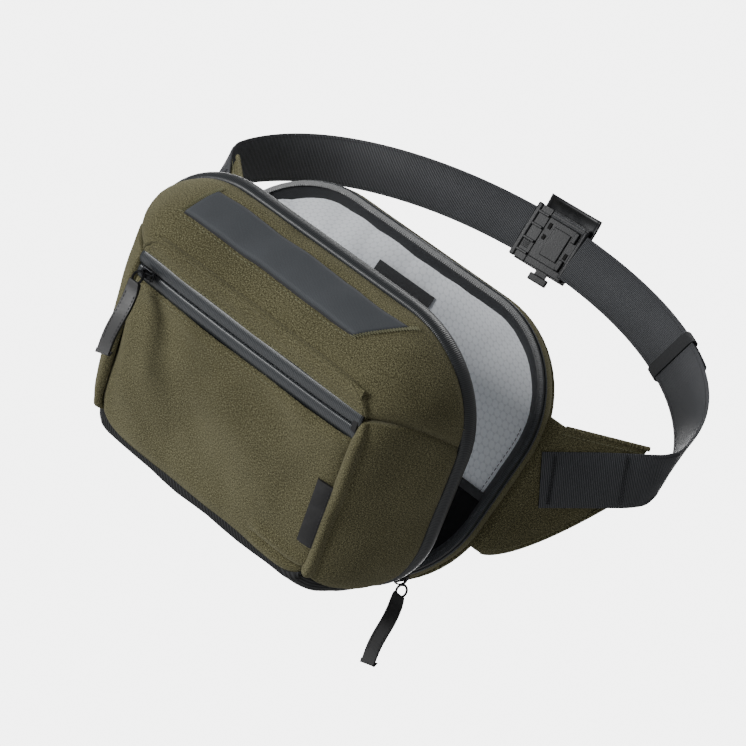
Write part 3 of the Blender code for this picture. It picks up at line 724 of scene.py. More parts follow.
def fold_edge():
    """Rolled lower edge of the top panel that shades the strip below it."""
    high = shell_size(SHELL_DEPTH)[2]
    half = face_half(high - 0.006)
    count = 60
    line = []
    for n in range(count + 1):
        x = half * (2 * n / count - 1)
        line.append(face_point(x, high - 0.0045, 0.0006 + soft((x, 0, high), 0.03, 0.0006, 6)))
    profile = [(0.0055 * math.cos(a), 0.0014 * math.sin(a)) for a in (math.pi * n / 6 for n in range(12))]
    sweep("top_panel_fold", line, profile, OLIVE, "front_shell", up=FACE_DOWN)


def ring_points(depth, inset):
    return [tilt((x, -depth, z)) for x, z in shell_outline(depth, inset)]


def outward_at(point):
    """Outward direction of the shell's wall near a point of it."""
    local = TILT.inverted() @ point
    flat = Vector((local.x * 0.7, 0, local.z - HALF_RIM)).normalized()
    return (TILT.to_3x3() @ flat).normalized()


def band(name, ring, profile, mat, body, nodes, normal, side):
    """Closed ring band: profile points (out, along side) carried round a ring of points."""
    verts, weave = [], []
    travelled = 0.0
    for n, point in enumerate(ring):
        tangent = (ring[(n + 1) % len(ring)] - ring[n - 1]).normalized()
        out = tangent.cross(side).normalized()
        if out.dot(normal(point)) < 0:
            out = -out
        if n:
            travelled += (point - ring[n - 1]).length
        for a, b in profile:
            verts.append(point + out * a + side * b)
            weave.append((travelled, b, 0.0))
    obj = solid_mesh(name, verts, section_faces(len(ring), len(profile), closed=True), mat, weave)
    return finish_piece(obj, body, nodes)


def teeth(name, ring, normal, side, body):
    """Row of zip teeth round a ring, each one narrower at its far side."""
    pitch, size, reach = 0.0016, 0.0011, 0.0016
    verts, faces = [], []
    for point, along in resample(ring + ring[:1], pitch):
        cross = along.cross(side).normalized()
        inward = -cross if cross.dot(normal(point)) > 0 else cross
        a, b, c = along * size / 2, side * reach / 2, inward * size / 2
        faces += [tuple(len(verts) + n for n in face) for face in BOX_FACES]
        for i in (-1, 1):
            for j, scale in ((-1, 1.0), (1, 0.6)):
                for k in (-1, 1):
                    verts.append(point + a * i * scale + b * j + c * k * scale)
    return finish_piece(solid_mesh(name, verts, faces, COIL, sharp=30), body, (name,))


def build_rim():
    """Front half of the main zip: coated tape rolled over a cord, then the teeth."""
    side = (TILT.to_3x3() @ Y).normalized()
    roll = [(0.0043 * signed_power(c, 0.9) - 0.0008, RIM_BAND / 2 * signed_power(s, 0.85))
            for c, s in turns_round(20)]
    band("front_rim_tape", ring_points(RIM_BAND / 2, 0.0008), roll, RIM_TAPE, "front_shell",
         ("front_rim_tape",), outward_at, side)
    stitches("front_rim_stitch", ring_points(RIM_BAND - 0.0004, -0.0004), outward_at, DARK_THREAD,
             "front_shell", pitch=0.0028, length=0.0020, radius=0.0002)
    flat = [(0.0010, -0.0028), (0.0010, 0.0012), (-0.0010, 0.0012), (-0.0010, -0.0028)]
    band("front_zip_tape_edge", ring_points(0.0016, 0.0058), flat, BINDING, "front_shell", (),
         outward_at, side)
    teeth("front_zip_coil", ring_points(0.0002, 0.0056), outward_at, side, "front_shell")


def build_shell_lining():
    """Light lining inside the front shell: one sheet round the wall and one across the face."""
    start, inset, margin = 0.003, 0.0062, 0.004

    def ring(share):
        depth = start + (SHELL_DEPTH - start) * share
        row = []
        for x, z in shell_outline(depth, inset):
            base = Vector((x, -depth, z))
            inward = Vector((-x, 0, HALF_RIM - z)).normalized()
            row.append(tilt(base + inward * (0.0006 + abs(soft(base, 0.02, 0.0022, 8)))))
        return row
    sheet_mesh("front_lining", ring_grid(14, ring), LINING_THICK, LINING, "front_shell",
               ("front_lining",), loop=True)

    def shape(x, height, across, up):
        return -0.0052 - abs(soft((x, 0, height), 0.03, 0.0018, 9))
    low, high = shell_size(SHELL_DEPTH)[1:3]
    face_piece("pocket_lining", low + margin, high - margin, 24, 36, LINING, shape, narrow=0.005,
               thick=LINING_THICK)


def top_point(x, depth, rise=0.0):
    """Place on the puffed top panel, lifted by rise."""
    size = shell_size(depth)
    half, high, radius = size[0], size[2], size[4]
    side = max(abs(x) - (half - radius), 0.0)
    base = Vector((x, -depth, high - radius + math.sqrt(max(0.0, radius * radius - side * side))))
    return wall_point(base, wall_rise(base, PANEL_PUFF, 1.0, TOP_SEED) + rise)


def top_normal(x, depth):
    """Outward direction of the top panel at a place."""
    step = 0.002
    a = top_point(x + step, depth) - top_point(x - step, depth)
    b = top_point(x, depth + step) - top_point(x, depth - step)
    out = a.cross(b).normalized()
    return out if out.z > 0 else -out


def build_handle():
    """Webbing grab handle that lies along the top panel, with a dark sheet under it whose thin rim round the
    band is a painted shadow, and its bartacks and topstitch.
    """
    deep, shadow_margin = HANDLE_FAR - HANDLE_NEAR, 0.0008

    def ends(share):
        return HANDLE_LEFT - 0.004 * share, HANDLE_RIGHT - 0.020 * share

    def band_place(share, across):
        left, right = ends(share)
        arch = 0.0012 * edge_fall(across, 0.25) * math.sin(math.pi * share) ** 0.3
        return top_point(left + (right - left) * across, HANDLE_NEAR + deep * share, 0.0018 + arch)

    # Dark sheet a little wider than the band and just under it: its rim is a painted shadow line round the
    # handle
    def shadow_sheet_place(share, across):
        left, right = ends(share)
        x = left - shadow_margin + (right - left + 2 * shadow_margin) * across
        return top_point(x, HANDLE_NEAR - shadow_margin + (deep + 2 * shadow_margin) * share, 0.0010)
    sheet_mesh("handle_band", make_grid(10, 60, band_place), 0.0010, HANDLE, "front_shell",
               ("handle_band",), out=-1.0)
    sheet_mesh("handle_shadow_sheet", make_grid(10, 60, shadow_sheet_place), 0.0008, BINDING, "front_shell",
               out=-1.0)
    out = top_normal(0, 0.028)
    steps, half_tack = 48, 0.0018
    for name, x, slant in (("left", HANDLE_LEFT - 0.0020, -0.004), ("right", HANDLE_RIGHT + 0.0012, -0.020)):
        points = []
        for n in range(steps + 1):
            share = 1.25 * n / steps - 0.20
            across = x + slant * share + (half_tack if n % 2 else -half_tack)
            points.append(top_point(across, HANDLE_NEAR + deep * share, 0.0014))
        tube("handle_bartack_" + name, points, TACK_RADIUS, THREAD, "front_shell", sides=6, up=out)
    seam = [top_point(-0.085 + 0.143 * n / 60, HANDLE_FAR + 0.0026, 0.0004) for n in range(61)]
    stitches("handle_topstitch", seam, out, THREAD, "front_shell", radius=0.00034)


def build_loop_tab():
    """Coated loop folded double and caught in the right-hand dart seam, and the zip's end stop."""
    height, tall, steps = 0.083, 0.049, 14
    right = face_half(height) + 0.0010
    section = [(-0.0150, 0.0022), (-0.0140, 0.0042), (-0.0105, 0.0048), (-0.004, 0.0042), (0.0, 0.0026),
               (0.0, 0.0014), (-0.004, 0.0026), (-0.0105, 0.0030), (-0.0132, 0.0024), (-0.0138, 0.0016)]
    verts, weave = [], []
    for n in range(steps + 1):
        z = height - tall / 2 + tall * n / steps
        for a, b in section:
            verts.append(tilt((right + a, -face_depth(right + a, z) - b + 0.0006, z)))
            weave.append((z, a, 0.0))
    obj = solid_mesh("loop_tab", verts, section_faces(steps + 1, len(section)), RUBBER, weave)
    finish_piece(obj, "front_shell", ("loop_tab",))
    seam = 0.044
    line = [tilt((right - 0.0030, -face_depth(right, z) - 0.0044, z))
            for z in (height - seam / 2 + seam * n / 12 for n in range(13))]
    stitches("loop_tab_stitch", line, FACE_OUT, DARK_THREAD, "front_shell", pitch=0.003)
    middle = tilt((face_half(ZIP_MIDDLE) - 0.004, -face_depth(0.09, ZIP_MIDDLE) - 0.0006, ZIP_MIDDLE))
    solid_block("pocket_zip_stop", middle, (X, FACE_OUT, FACE_DOWN), (0.004, 0.0012, 0.0085), RUBBER,
                "front_shell", ("pocket_zip_stop",), bevel=0.0004)


def build_shell_stitching():
    """Topstitching beside the seams of the front shell."""
    for name, height, rise in (("upper", ZIP_HIGH + 0.0022, 0.0010), ("lower", ZIP_LOW - 0.0020, 0.0022)):
        half = face_half(height) - 0.004
        line = [face_point(half * (2 * n / 60 - 1), height, rise) for n in range(61)]
        stitches("stitch_zip_" + name, line, FACE_OUT, THREAD, "front_shell", radius=0.00022)
    for name, place in (("right", SIDE_HIGH + 2), ("left", OUTLINE - SIDE_HIGH - 2)):
        line = []
        for n in range(30):
            depth = 0.006 + (SHELL_DEPTH - 0.008) * n / 29
            x, z = shell_outline(depth, -0.0006)[place]
            line.append(tilt((x, -depth, z)))
        stitches("stitch_side_" + name, line, outward_at, THREAD, "front_shell", radius=0.00020)


# ------------------------------------------------------------------ back half
def back_out(point):
    """Outward direction of the back half's wall at a place."""
    return Vector((point.x * 0.7, 0, point.z)).normalized()


def inflate(obj, voxel, pressure, cap, frames=20):
    """Cloth simulation with inner pressure on a remeshed copy; no point moves further than cap."""
    remesh = obj.modifiers.new("remesh", "REMESH")
    remesh.mode = "VOXEL"
    remesh.voxel_size = voxel
    bpy.context.view_layer.update()
    graph = bpy.context.evaluated_depsgraph_get()
    mesh = bpy.data.meshes.new_from_object(obj.evaluated_get(graph))
    obj.modifiers.clear()
    obj.data = mesh
    rest = [v.co.copy() for v in mesh.vertices]
    cloth = obj.modifiers.new("cloth", "CLOTH")
    cloth.settings.use_pressure = True
    cloth.settings.uniform_pressure_force = pressure
    cloth.settings.effector_weights.gravity = 0.0
    cloth.settings.quality = 4
    cloth.settings.tension_stiffness = 25
    cloth.settings.compression_stiffness = 25
    cloth.point_cache.frame_start, cloth.point_cache.frame_end = 1, frames
    scene = bpy.context.scene
    for step in range(1, frames + 1):
        scene.frame_set(step)
    graph = bpy.context.evaluated_depsgraph_get()
    swollen = [v.co.copy() for v in obj.evaluated_get(graph).data.vertices]
    obj.modifiers.clear()
    scene.frame_set(1)
    for vertex, before, after in zip(mesh.vertices, rest, swollen):
        move = after - before
        if move.length > cap:
            move *= cap / move.length
        vertex.co = before + move
    subdivide = obj.modifiers.new("smooth", "SUBSURF")
    subdivide.levels = subdivide.render_levels = 1
    mesh.shade_smooth()


def pad_piece(obj, across, body, node):
    """Cloth coordinates and cloth material of a swollen piece, bound to its body."""
    flat = []
    for vertex in obj.data.vertices:
        flat += [vertex.co.dot(across), vertex.co.z, 0.0]
    layer = obj.data.attributes.get("weave") or obj.data.attributes.new("weave", "FLOAT_VECTOR", "POINT")
    layer.data.foreach_set("vector", flat)
    obj.data.materials.clear()
    obj.data.materials.append(OLIVE)
    finish_piece(obj, body, (node,))


def build_back_pad():
    """Padded back panel, swollen by simulation, flat where it rests on the wearer."""
    channel_reach, flat_front = 0.088, 0.0018
    verts = [Vector((x, y, z)) for y in (-0.0012, -BACK_PAD + 0.001) for x, z in mouth(0.0012)]
    obj = solid_mesh("back_panel", verts, section_faces(2, OUTLINE), OLIVE)
    inflate(obj, voxel=0.0045, pressure=3.5, cap=0.004)
    for vertex in obj.data.vertices:
        channel = abs(abs(vertex.co.x) - CHANNEL_AT)
        if vertex.co.y > -0.004:
            vertex.co.y = min(vertex.co.y, flat_front)
            vertex.co.y += crease(channel, 0.0035, 0.0022)
        vertex.co.y = max(vertex.co.y, -BACK_PAD - 0.0004)
    pad_piece(obj, X, "back", "back_panel")
    for side, name in ((-1, "left"), (1, "right")):
        line = [Vector((side * CHANNEL_AT, 0.0004, channel_reach * (n / 20 - 1))) for n in range(41)]
        stitches("back_channel_" + name, line, Y, THREAD, "back")


def level_ring(y, inset):
    return [Vector((x, y, z)) for x, z in mouth(inset)]


def build_back_wall():
    """Olive wall of the back half, its piping, the back half of the main zip and the binding."""
    wall_start, wall_end = -0.0036, MOUTH_Y + 0.0042

    def wall(share):
        row = []
        for base in level_ring(wall_start + (wall_end - wall_start) * share, 0.0):
            rise = 0.0016 * math.sin(math.pi * share) + soft(base, 0.03, 0.0012, 11)
            row.append(base + back_out(base) * rise)
        return row

    def binding(share):
        row = []
        for base in level_ring(MOUTH_Y + 0.0012 + 0.0090 * share, 0.0028 + 0.0084 * share):
            sunk = 0.0008 * math.sin(math.pi * share) + abs(soft(base, 0.02, 0.001, 12))
            row.append(base - back_out(base) * sunk)
        return row
    sheet_mesh("back_rim_wall", ring_grid(8, wall), CLOTH_THICK, OLIVE, "back", ("back_rim_wall",),
               loop=True)
    band("back_piping", level_ring(wall_start, -0.0002), round_section(0.0016), OLIVE, "back", (),
         back_out, Y)
    tape = [(0.0009, -0.0022), (0.0013, 0.0), (0.0009, 0.0022), (-0.0022, 0.0022), (-0.0022, -0.0022)]
    band("back_zip_tape", level_ring(MOUTH_Y + 0.0022, 0.0012), tape, RIM_TAPE, "back",
         ("back_zip_tape",), back_out, Y)
    # The thin piping shares the lightened tape colour, a painted highlight
    band("back_zip_piping", level_ring(MOUTH_Y + 0.0046, -0.0004), round_section(0.0008, 8), TAPE_WITH_PAINTED_HIGHLIGHT,
         "back", (), back_out, Y)
    teeth("back_zip_coil", level_ring(MOUTH_Y + 0.0004, 0.0034), back_out, Y, "back")
    sheet_mesh("lining_binding", ring_grid(4, binding), 0.0007, BINDING, "back", ("lining_binding",),
               loop=True)


def half_width(height, inset):
    """Half width of the back half inside its outline at a height."""
    radius = (BOTTOM_RADIUS if height < 0 else TOP_RADIUS) - inset
    edge = HALF_RIM - inset
    drop = max(abs(height) - (edge - radius), 0.0)
    return RIM_WIDTH / 2 - inset - radius + math.sqrt(max(0.0, radius * radius - drop * drop))


def back_sheet(name, low, high, rows, cols, inset, y, shape, mat, thick=LINING_THICK):
    """Sheet inside the back half; shape(x, z) gives how far it stands off y."""
    def place(up, across):
        height = low + (high - low) * up
        x = half_width(height, inset) * (2 * across - 1)
        return Vector((x, y - shape(x, height), height))
    return sheet_mesh(name, make_grid(rows, cols, place), thick, mat, "back", (name,))


def build_back_inside():
    """Lining, mesh pocket and label strip on the inside of the back panel."""
    lining_edge, pocket_edge, hem_low, hem_high = HALF_RIM - 0.005, HALF_RIM - 0.008, -0.013, -0.006

    def slack(x, z):
        folds = crease((x - 0.03) * 0.5 + (z + 0.012) * 0.87, 0.004, -0.0018)
        folds += crease((x + 0.05) * 0.4 + (z - 0.04) * 0.9, 0.005, -0.0012)
        return 0.0004 + abs(soft((x, 0, z), 0.035, 0.0026, 13)) + folds

    def pocket(x, z):
        return 0.0006 + abs(soft((x, 0, z), 0.04, 0.0016, 14))
    back_sheet("back_lining", -lining_edge, lining_edge, 60, 80, 0.0048, -0.0118, slack, LINING)
    back_sheet("inner_pocket", -pocket_edge, hem_low + 0.001, 30, 60, 0.0052, -0.0153, pocket, MESH)
    back_sheet("inner_pocket_hem", hem_low, hem_high, 4, 60, 0.0052, -0.0152, pocket, BINDING,
               thick=0.0012)
    solid_block("inner_label_strip", Vector((-0.001, -0.0150, 0.0745)), (X, Y, Z),
                (0.050, 0.0008, 0.010), BINDING, "back", ("inner_label_strip",), bevel=0.0002)
    line = [Vector((half_width(z, 0.012), -0.0150, z)) for z in (hem_high + 0.05 * n / 20 for n in range(21))]
    stitches("lining_stitch", line, -Y, DARK_THREAD, "back")


def build_gussets():
    """Fabric below the mouth that joins the two halves, shaped between them in the shell's open position."""
    depth = 0.006
    ring_back = mouth(0.0004)
    ring_front = shell_outline(depth, -0.0002)
    places = [place % OUTLINE for place in range(OUTLINE - SIDE_LOW, OUTLINE + SIDE_LOW + 1)]

    def place(share, across):
        at = places[round(across * (len(places) - 1))]
        behind = Vector((ring_back[at][0], MOUTH_Y + 0.0060, ring_back[at][1]))
        ahead = tilt((ring_front[at][0], -depth, ring_front[at][1]))
        return behind.lerp(ahead, share) - Z * math.sin(math.pi * share) * 0.0012
    joining_sheet("hinge_gusset", make_grid(8, len(places) - 1, place), 0.0012, BASE,
                  ("hinge_gusset",))


def joining_sheet(name, grid, thick, mat, nodes=()):
    """Sheet between two bodies, left in world space and bound to neither."""
    obj = grid_mesh(name, grid, thick, 0.0, mat)
    if nodes:
        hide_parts(*nodes)
    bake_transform(obj)


def build_wing_join(side, name, along, out):
    """Root of the wing, sewn under the back panel's edge."""
    hinge = wing_hinge(side)
    root = Vector((side * (RIM_WIDTH / 2 - 0.008), WING_HINGE_Y, 0))
    reach = WING_START + 0.006

    def place(share, up):
        past = reach * (share * 2 - 1)
        base = root.lerp(hinge, share * 2) if share < 0.5 else hinge + along * past
        low, high = wing_edges(max(0.0, past - WING_START) / WING_LENGTH)
        puff = 0.0012 * (1 - abs(2 * up - 1) ** 4)
        return base + Z * (low + (high - low) * up) + out * puff
    joining_sheet(name + "_wing_root", make_grid(12, 20, place), 0.0046, OLIVE)


# ------------------------------------------------------------------ sliders and pulls
def build_slider(name, centre, along, side, out, body):
    """Zip slider: two wing plates joined by a neck, with a bridge for the ring."""
    axes = (along, side, out)
    solid_block(name, centre - out * 0.0006, axes, (0.0108, 0.0078, 0.0016), METAL, body, (name,),
                bevel=0.0007)
    arch = []
    for n in range(13):
        angle = math.pi * n / 12
        arch.append(centre + along * math.cos(angle) * 0.0042 + out * (0.0002 + 0.0030 * math.sin(angle)))
    sweep(name + "_bridge", arch, flat_section(0.0013, 0.0005), METAL, body, up=side)
    for place, sign in (("left", -1), ("right", 1)):
        solid_block(name + "_cheek_" + place, centre + side * sign * 0.0034 - out * 0.0002, axes,
                    (0.0090, 0.0010, 0.0026), METAL, body, bevel=0.0004)


def build_pull(name, pivot, body):
    """Oval ring and a folded strap with a slanting tip that hangs from it."""
    out = X.cross(Z).normalized()
    oval = [pivot + X * c * 0.0036 - Z * (s * 0.0042 + 0.0004) for c, s in turns_round(28)]
    tube(name + "_ring", oval, 0.0009, METAL, body, (name + "_ring",), closed=True, up=out)
    top, length, rows, tip_slant = 0.0030, 0.0510, 26, 0.0062

    def strap_point(share, across, above):
        """Place on the strap, which leans to the right as it hangs."""
        lean = 0.0100 * share + 0.0012 * math.sin(share * 6.0)
        return pivot + X * (across + lean) - Z * (top + length * share) + out * above
    verts, weave = [], []
    for n in range(rows + 1):
        share = n / rows
        neck = 0.0040 + 0.0012 * min(1.0, share / 0.12) ** 0.7
        curl = 0.0012 * math.sin(share * 5.0) * share
        thick = 0.0011 + 0.0008 * math.exp(-(share / 0.08) ** 2)
        for side, layer in ((-1, -1), (-1, 1), (1, 1), (1, -1)):
            point = strap_point(share, side * neck, layer * thick + curl)
            verts.append(point + Z * (tip_slant if n == rows and side > 0 else 0.0))
            weave.append((top + length * share, side * neck, 0))
    obj = solid_mesh(name + "_tab", verts, section_faces(rows + 1, 4), RUBBER, weave, sharp=50)
    add_bevel(obj, 0.0004, segments=2).limit_method = "ANGLE"
    finish_piece(obj, body, (name + "_tab",))
    for side, letter in ((-1, "a"), (1, "b")):
        line = [strap_point(0.18 + 0.062 * n, side * 0.0038, 0.0011) for n in range(11)]
        stitches("%s_stitch_%s" % (name, letter), line, out, DARK_THREAD, body, pitch=0.0026,
                 length=0.0018, radius=0.0002, lift=0.0004)


def box_centre(node):
    low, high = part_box(node)
    return (Vector(low) + Vector(high)) / 2


def build_sliders():
    slider = tilt((SLIDER_X, -SHELL_DEPTH - FACE_WALL - FACE_CROWN - 0.0025, ZIP_MIDDLE))
    build_slider("pocket_slider", slider - FACE_OUT * 0.0012, X, FACE_DOWN, FACE_OUT, "pocket_slider")
    build_pull("pocket_pull", Vector((SLIDER_X, -0.16808, -0.01252)), "pocket_pull")
    out = Vector((math.cos(math.radians(-45)), 0, math.sin(math.radians(-45))))
    along = Vector((-out.z, 0, out.x))
    build_slider("main_slider", box_centre("main_slider"), along, Y, out, "back")
    build_pull("main_pull", Vector((0.12571, -0.018, -0.08971)), "main_pull")


# ------------------------------------------------------------------ wings and belt
def wing_axes(side):
    along = Vector((side * math.cos(WING_ANGLE), math.sin(WING_ANGLE), 0))
    out = Vector((side * math.sin(WING_ANGLE), -math.cos(WING_ANGLE), 0))
    return along, out


def wing_hinge(side):
    return Vector((side * WING_HINGE_X, WING_HINGE_Y, 0))


def wing_edges(share):
    """Lower and upper edge of a wing at a share of its length."""
    low = -0.040 + 0.075 * share ** 1.5
    high = 0.060 + 0.019 * share
    return low, high


def build_wing(side):
    """Padded wing: swollen by simulation, then marked by its edge seam."""
    name = "left" if side < 0 else "right"
    body = name + "_belt"
    along, out = wing_axes(side)
    steps, thick, margin = 10, 0.0026, 0.0012

    def section(share):
        """Ring of points round the wing at a share of its length."""
        low, high = wing_edges(share)
        base = wing_hinge(side) + along * (WING_START + WING_LENGTH * share)
        sides = [(up, out * (thick - 0.0018 * share)) for up in range(steps + 1)]
        sides += [(up, -out * thick) for up in range(steps, -1, -1)]
        tall = high - low + 2 * margin
        return [base + Z * (low - margin + tall * up / steps) + off for up, off in sides]
    verts = [point for share in range(steps + 1) for point in section(share / steps)]
    obj = solid_mesh(name + "_wing", verts, section_faces(steps + 1, 2 * (steps + 1)), OLIVE)
    inflate(obj, voxel=0.0030, pressure=3.0, cap=0.0018)
    pad_piece(obj, along, body, name + "_wing")
    build_wing_trim(side, name, body, along, out)
    build_wing_join(side, name, along, out)


def build_wing_trim(side, name, body, along, out):
    """Bound edge and topstitch along the wing's upper and lower edges."""
    for place, pick, sign in (("lower", 0, 1), ("upper", 1, -1)):
        line, inner = [], []
        for n in range(21):
            share = n / 20
            base = wing_hinge(side) + along * (WING_START + WING_LENGTH * share)
            base = base + Z * wing_edges(share)[pick]
            line.append(base + Z * sign * 0.0006)
            inner.append(base + out * (0.0038 - 0.0016 * share) + Z * sign * 0.0045)
        tube("%s_wing_%s_piping" % (name, place), line, 0.0017, OLIVE, body, up=out)
        stitches("%s_wing_%s_stitch" % (name, place), inner, out, THREAD, body, radius=0.00024)


def hoop(angle):
    """Place on the belt's round at an angle."""
    along, out = wing_axes(1)
    tip = (wing_hinge(1) + along * (WING_START + WING_LENGTH + HOOP_CLEAR)
           + out * (WING_THICK / 2 + WEB_THICK))
    rise = math.sin(angle) ** 0.9 if 0 < angle < math.pi else 0.0
    return Vector((tip.x * math.cos(angle), tip.y + HOOP_DEPTH * math.sin(angle),
                   BELT_LOW + BELT_CLIMB + HOOP_RISE * rise))


def belt_line(side, stop):
    """Belt's middle line from the wing's root to the buckle."""
    along, out = wing_axes(side)
    lift = out * (WING_THICK / 2 + WEB_THICK / 2 + 0.0004)
    line = [wing_hinge(side) + lift + along * (WING_START + 0.004 + WING_LENGTH * n / 4)
            + Vector((0, 0, BELT_LOW + BELT_CLIMB * n / 4)) for n in range(5)]
    first = math.radians(2)
    for n in range(25):
        angle = first + (stop - first) * n / 24
        line.append(hoop(angle if side > 0 else math.pi - angle))
    for _ in range(2):
        middle = [(line[n - 1] + line[n] * 2 + line[n + 1]) / 4 for n in range(1, len(line) - 1)]
        line = [line[0]] + middle + [line[-1]]
    return dense(line)


def dense(line, parts=5):
    """Catmull-Rom curve through the points."""
    ends = [line[0] * 2 - line[1]] + line + [line[-1] * 2 - line[-2]]
    result = []
    for n in range(1, len(ends) - 2):
        a, b, c, d = ends[n - 1:n + 3]
        for step in range(parts):
            t = step / parts
            result.append(0.5 * (b * 2 + (c - a) * t + (a * 2 - b * 5 + c * 4 - d) * t * t
                                 + (b * 3 - a - c * 3 + d) * t ** 3))
    return result + [line[-1]]


def hoop_reach(length):
    """Angle that a short length takes up on the round at the buckle."""
    step = math.radians(1)
    return length / (hoop(BUCKLE_ANGLE + step) - hoop(BUCKLE_ANGLE - step)).length * 2 * step


def shifted(line, out_by=0.0, up_by=0.0):
    """Line moved outwards and upwards from the belt's middle."""
    moved = []
    for n, point in enumerate(line):
        tangent = (line[min(n + 1, len(line) - 1)] - line[max(n - 1, 0)]).normalized()
        across = (Z - tangent * tangent.z).normalized()
        moved.append(point + tangent.cross(across).normalized() * out_by + across * up_by)
    return moved


def build_belt():
    """Webbing of both sides, the tail folded back on the right, its stitching and its keeper."""
    seat, selvage = -0.0015, 0.0165
    left = belt_line(-1, math.pi - (BUCKLE_ANGLE + hoop_reach(BUCKLE_LEFT + seat)))
    right = belt_line(1, BUCKLE_ANGLE - hoop_reach(BUCKLE_RIGHT + seat))
    strap = rounded_strap(WEB_WIDTH, WEB_THICK)
    sweep("left_webbing", left, strap, WEBBING, "left_belt", ("left_webbing",))
    sweep("right_webbing", right, strap, WEBBING, "right_belt", ("right_webbing",))
    first = int(len(right) * (1 - TAIL_SHARE))
    tail = shifted(right[first:], TAIL_LIFT)
    start = [tail[0].lerp(shifted(right[first - 2:first], 0.0022)[0], 0.6)]
    sweep("belt_tail", start + tail, strap, WEBBING, "right_belt", ("belt_tail",))
    for name, line in (("left", left), ("right", right)):
        for place, shift in (("upper", selvage), ("lower", -selvage)):
            for face, sign in (("outer", 1), ("inner", -1)):
                stitches("%s_selvage_%s_%s" % (name, place, face),
                         shifted(line[24:], sign * 0.0009, shift),
                         lambda p, s=sign: Vector((p.x, p.y - 0.02, 0)) * s, DARK_THREAD,
                         name + "_belt", pitch=0.0022, length=0.0016, radius=0.00018, lift=0.0)
    build_bartacks()
    build_keeper(right, first + 14)


def build_bartacks():
    """Zigzag stitches that hold the belt down on each wing."""
    reach = 0.0165
    for side, name in ((-1, "left"), (1, "right")):
        along, out = wing_axes(side)
        up = (Z - along * 0.5).normalized()
        for place, share in (("root", 0.12), ("tip", 0.90)):
            base = wing_hinge(side) + along * (WING_START + 0.004 + WING_LENGTH * share * 0.95)
            middle = base + out * (WING_THICK / 2 + WEB_THICK + 0.0008) + Z * (BELT_LOW + 0.0335 * share)
            points = zigzag(middle - up * reach, middle + up * reach, along, 0.0030, 0.0009)
            tube("%s_bartack_%s" % (name, place), points, TACK_RADIUS, DARK_THREAD, name + "_belt",
                 sides=6, up=out)


def build_keeper(line, place):
    """Elastic loop round the belt and its tail."""
    tangent = (line[place + 1] - line[place - 1]).normalized()
    up = (Z - tangent * tangent.z).normalized()
    out = tangent.cross(up).normalized()
    centre = line[place] + out * TAIL_LIFT / 2
    wide, deep = WEB_WIDTH / 2 + 0.0014, 0.0036
    loop = [centre + up * wide * signed_power(c, 0.25) + out * deep * signed_power(s, 0.5)
            for c, s in turns_round(40)]
    sweep("strap_keeper", loop, flat_section(0.0058, 0.0005), BINDING, "right_belt", ("strap_keeper",),
          up=tangent, closed=True)


# ------------------------------------------------------------------ buckle
def buckle_frame():
    """Middle of the buckle and its directions: leftwards, upwards, inwards."""
    step = math.radians(1)
    left = (hoop(BUCKLE_ANGLE + step) - hoop(BUCKLE_ANGLE - step)).normalized()
    up = (Z - left * left.z).normalized()
    return hoop(BUCKLE_ANGLE), left, up, up.cross(left).normalized()


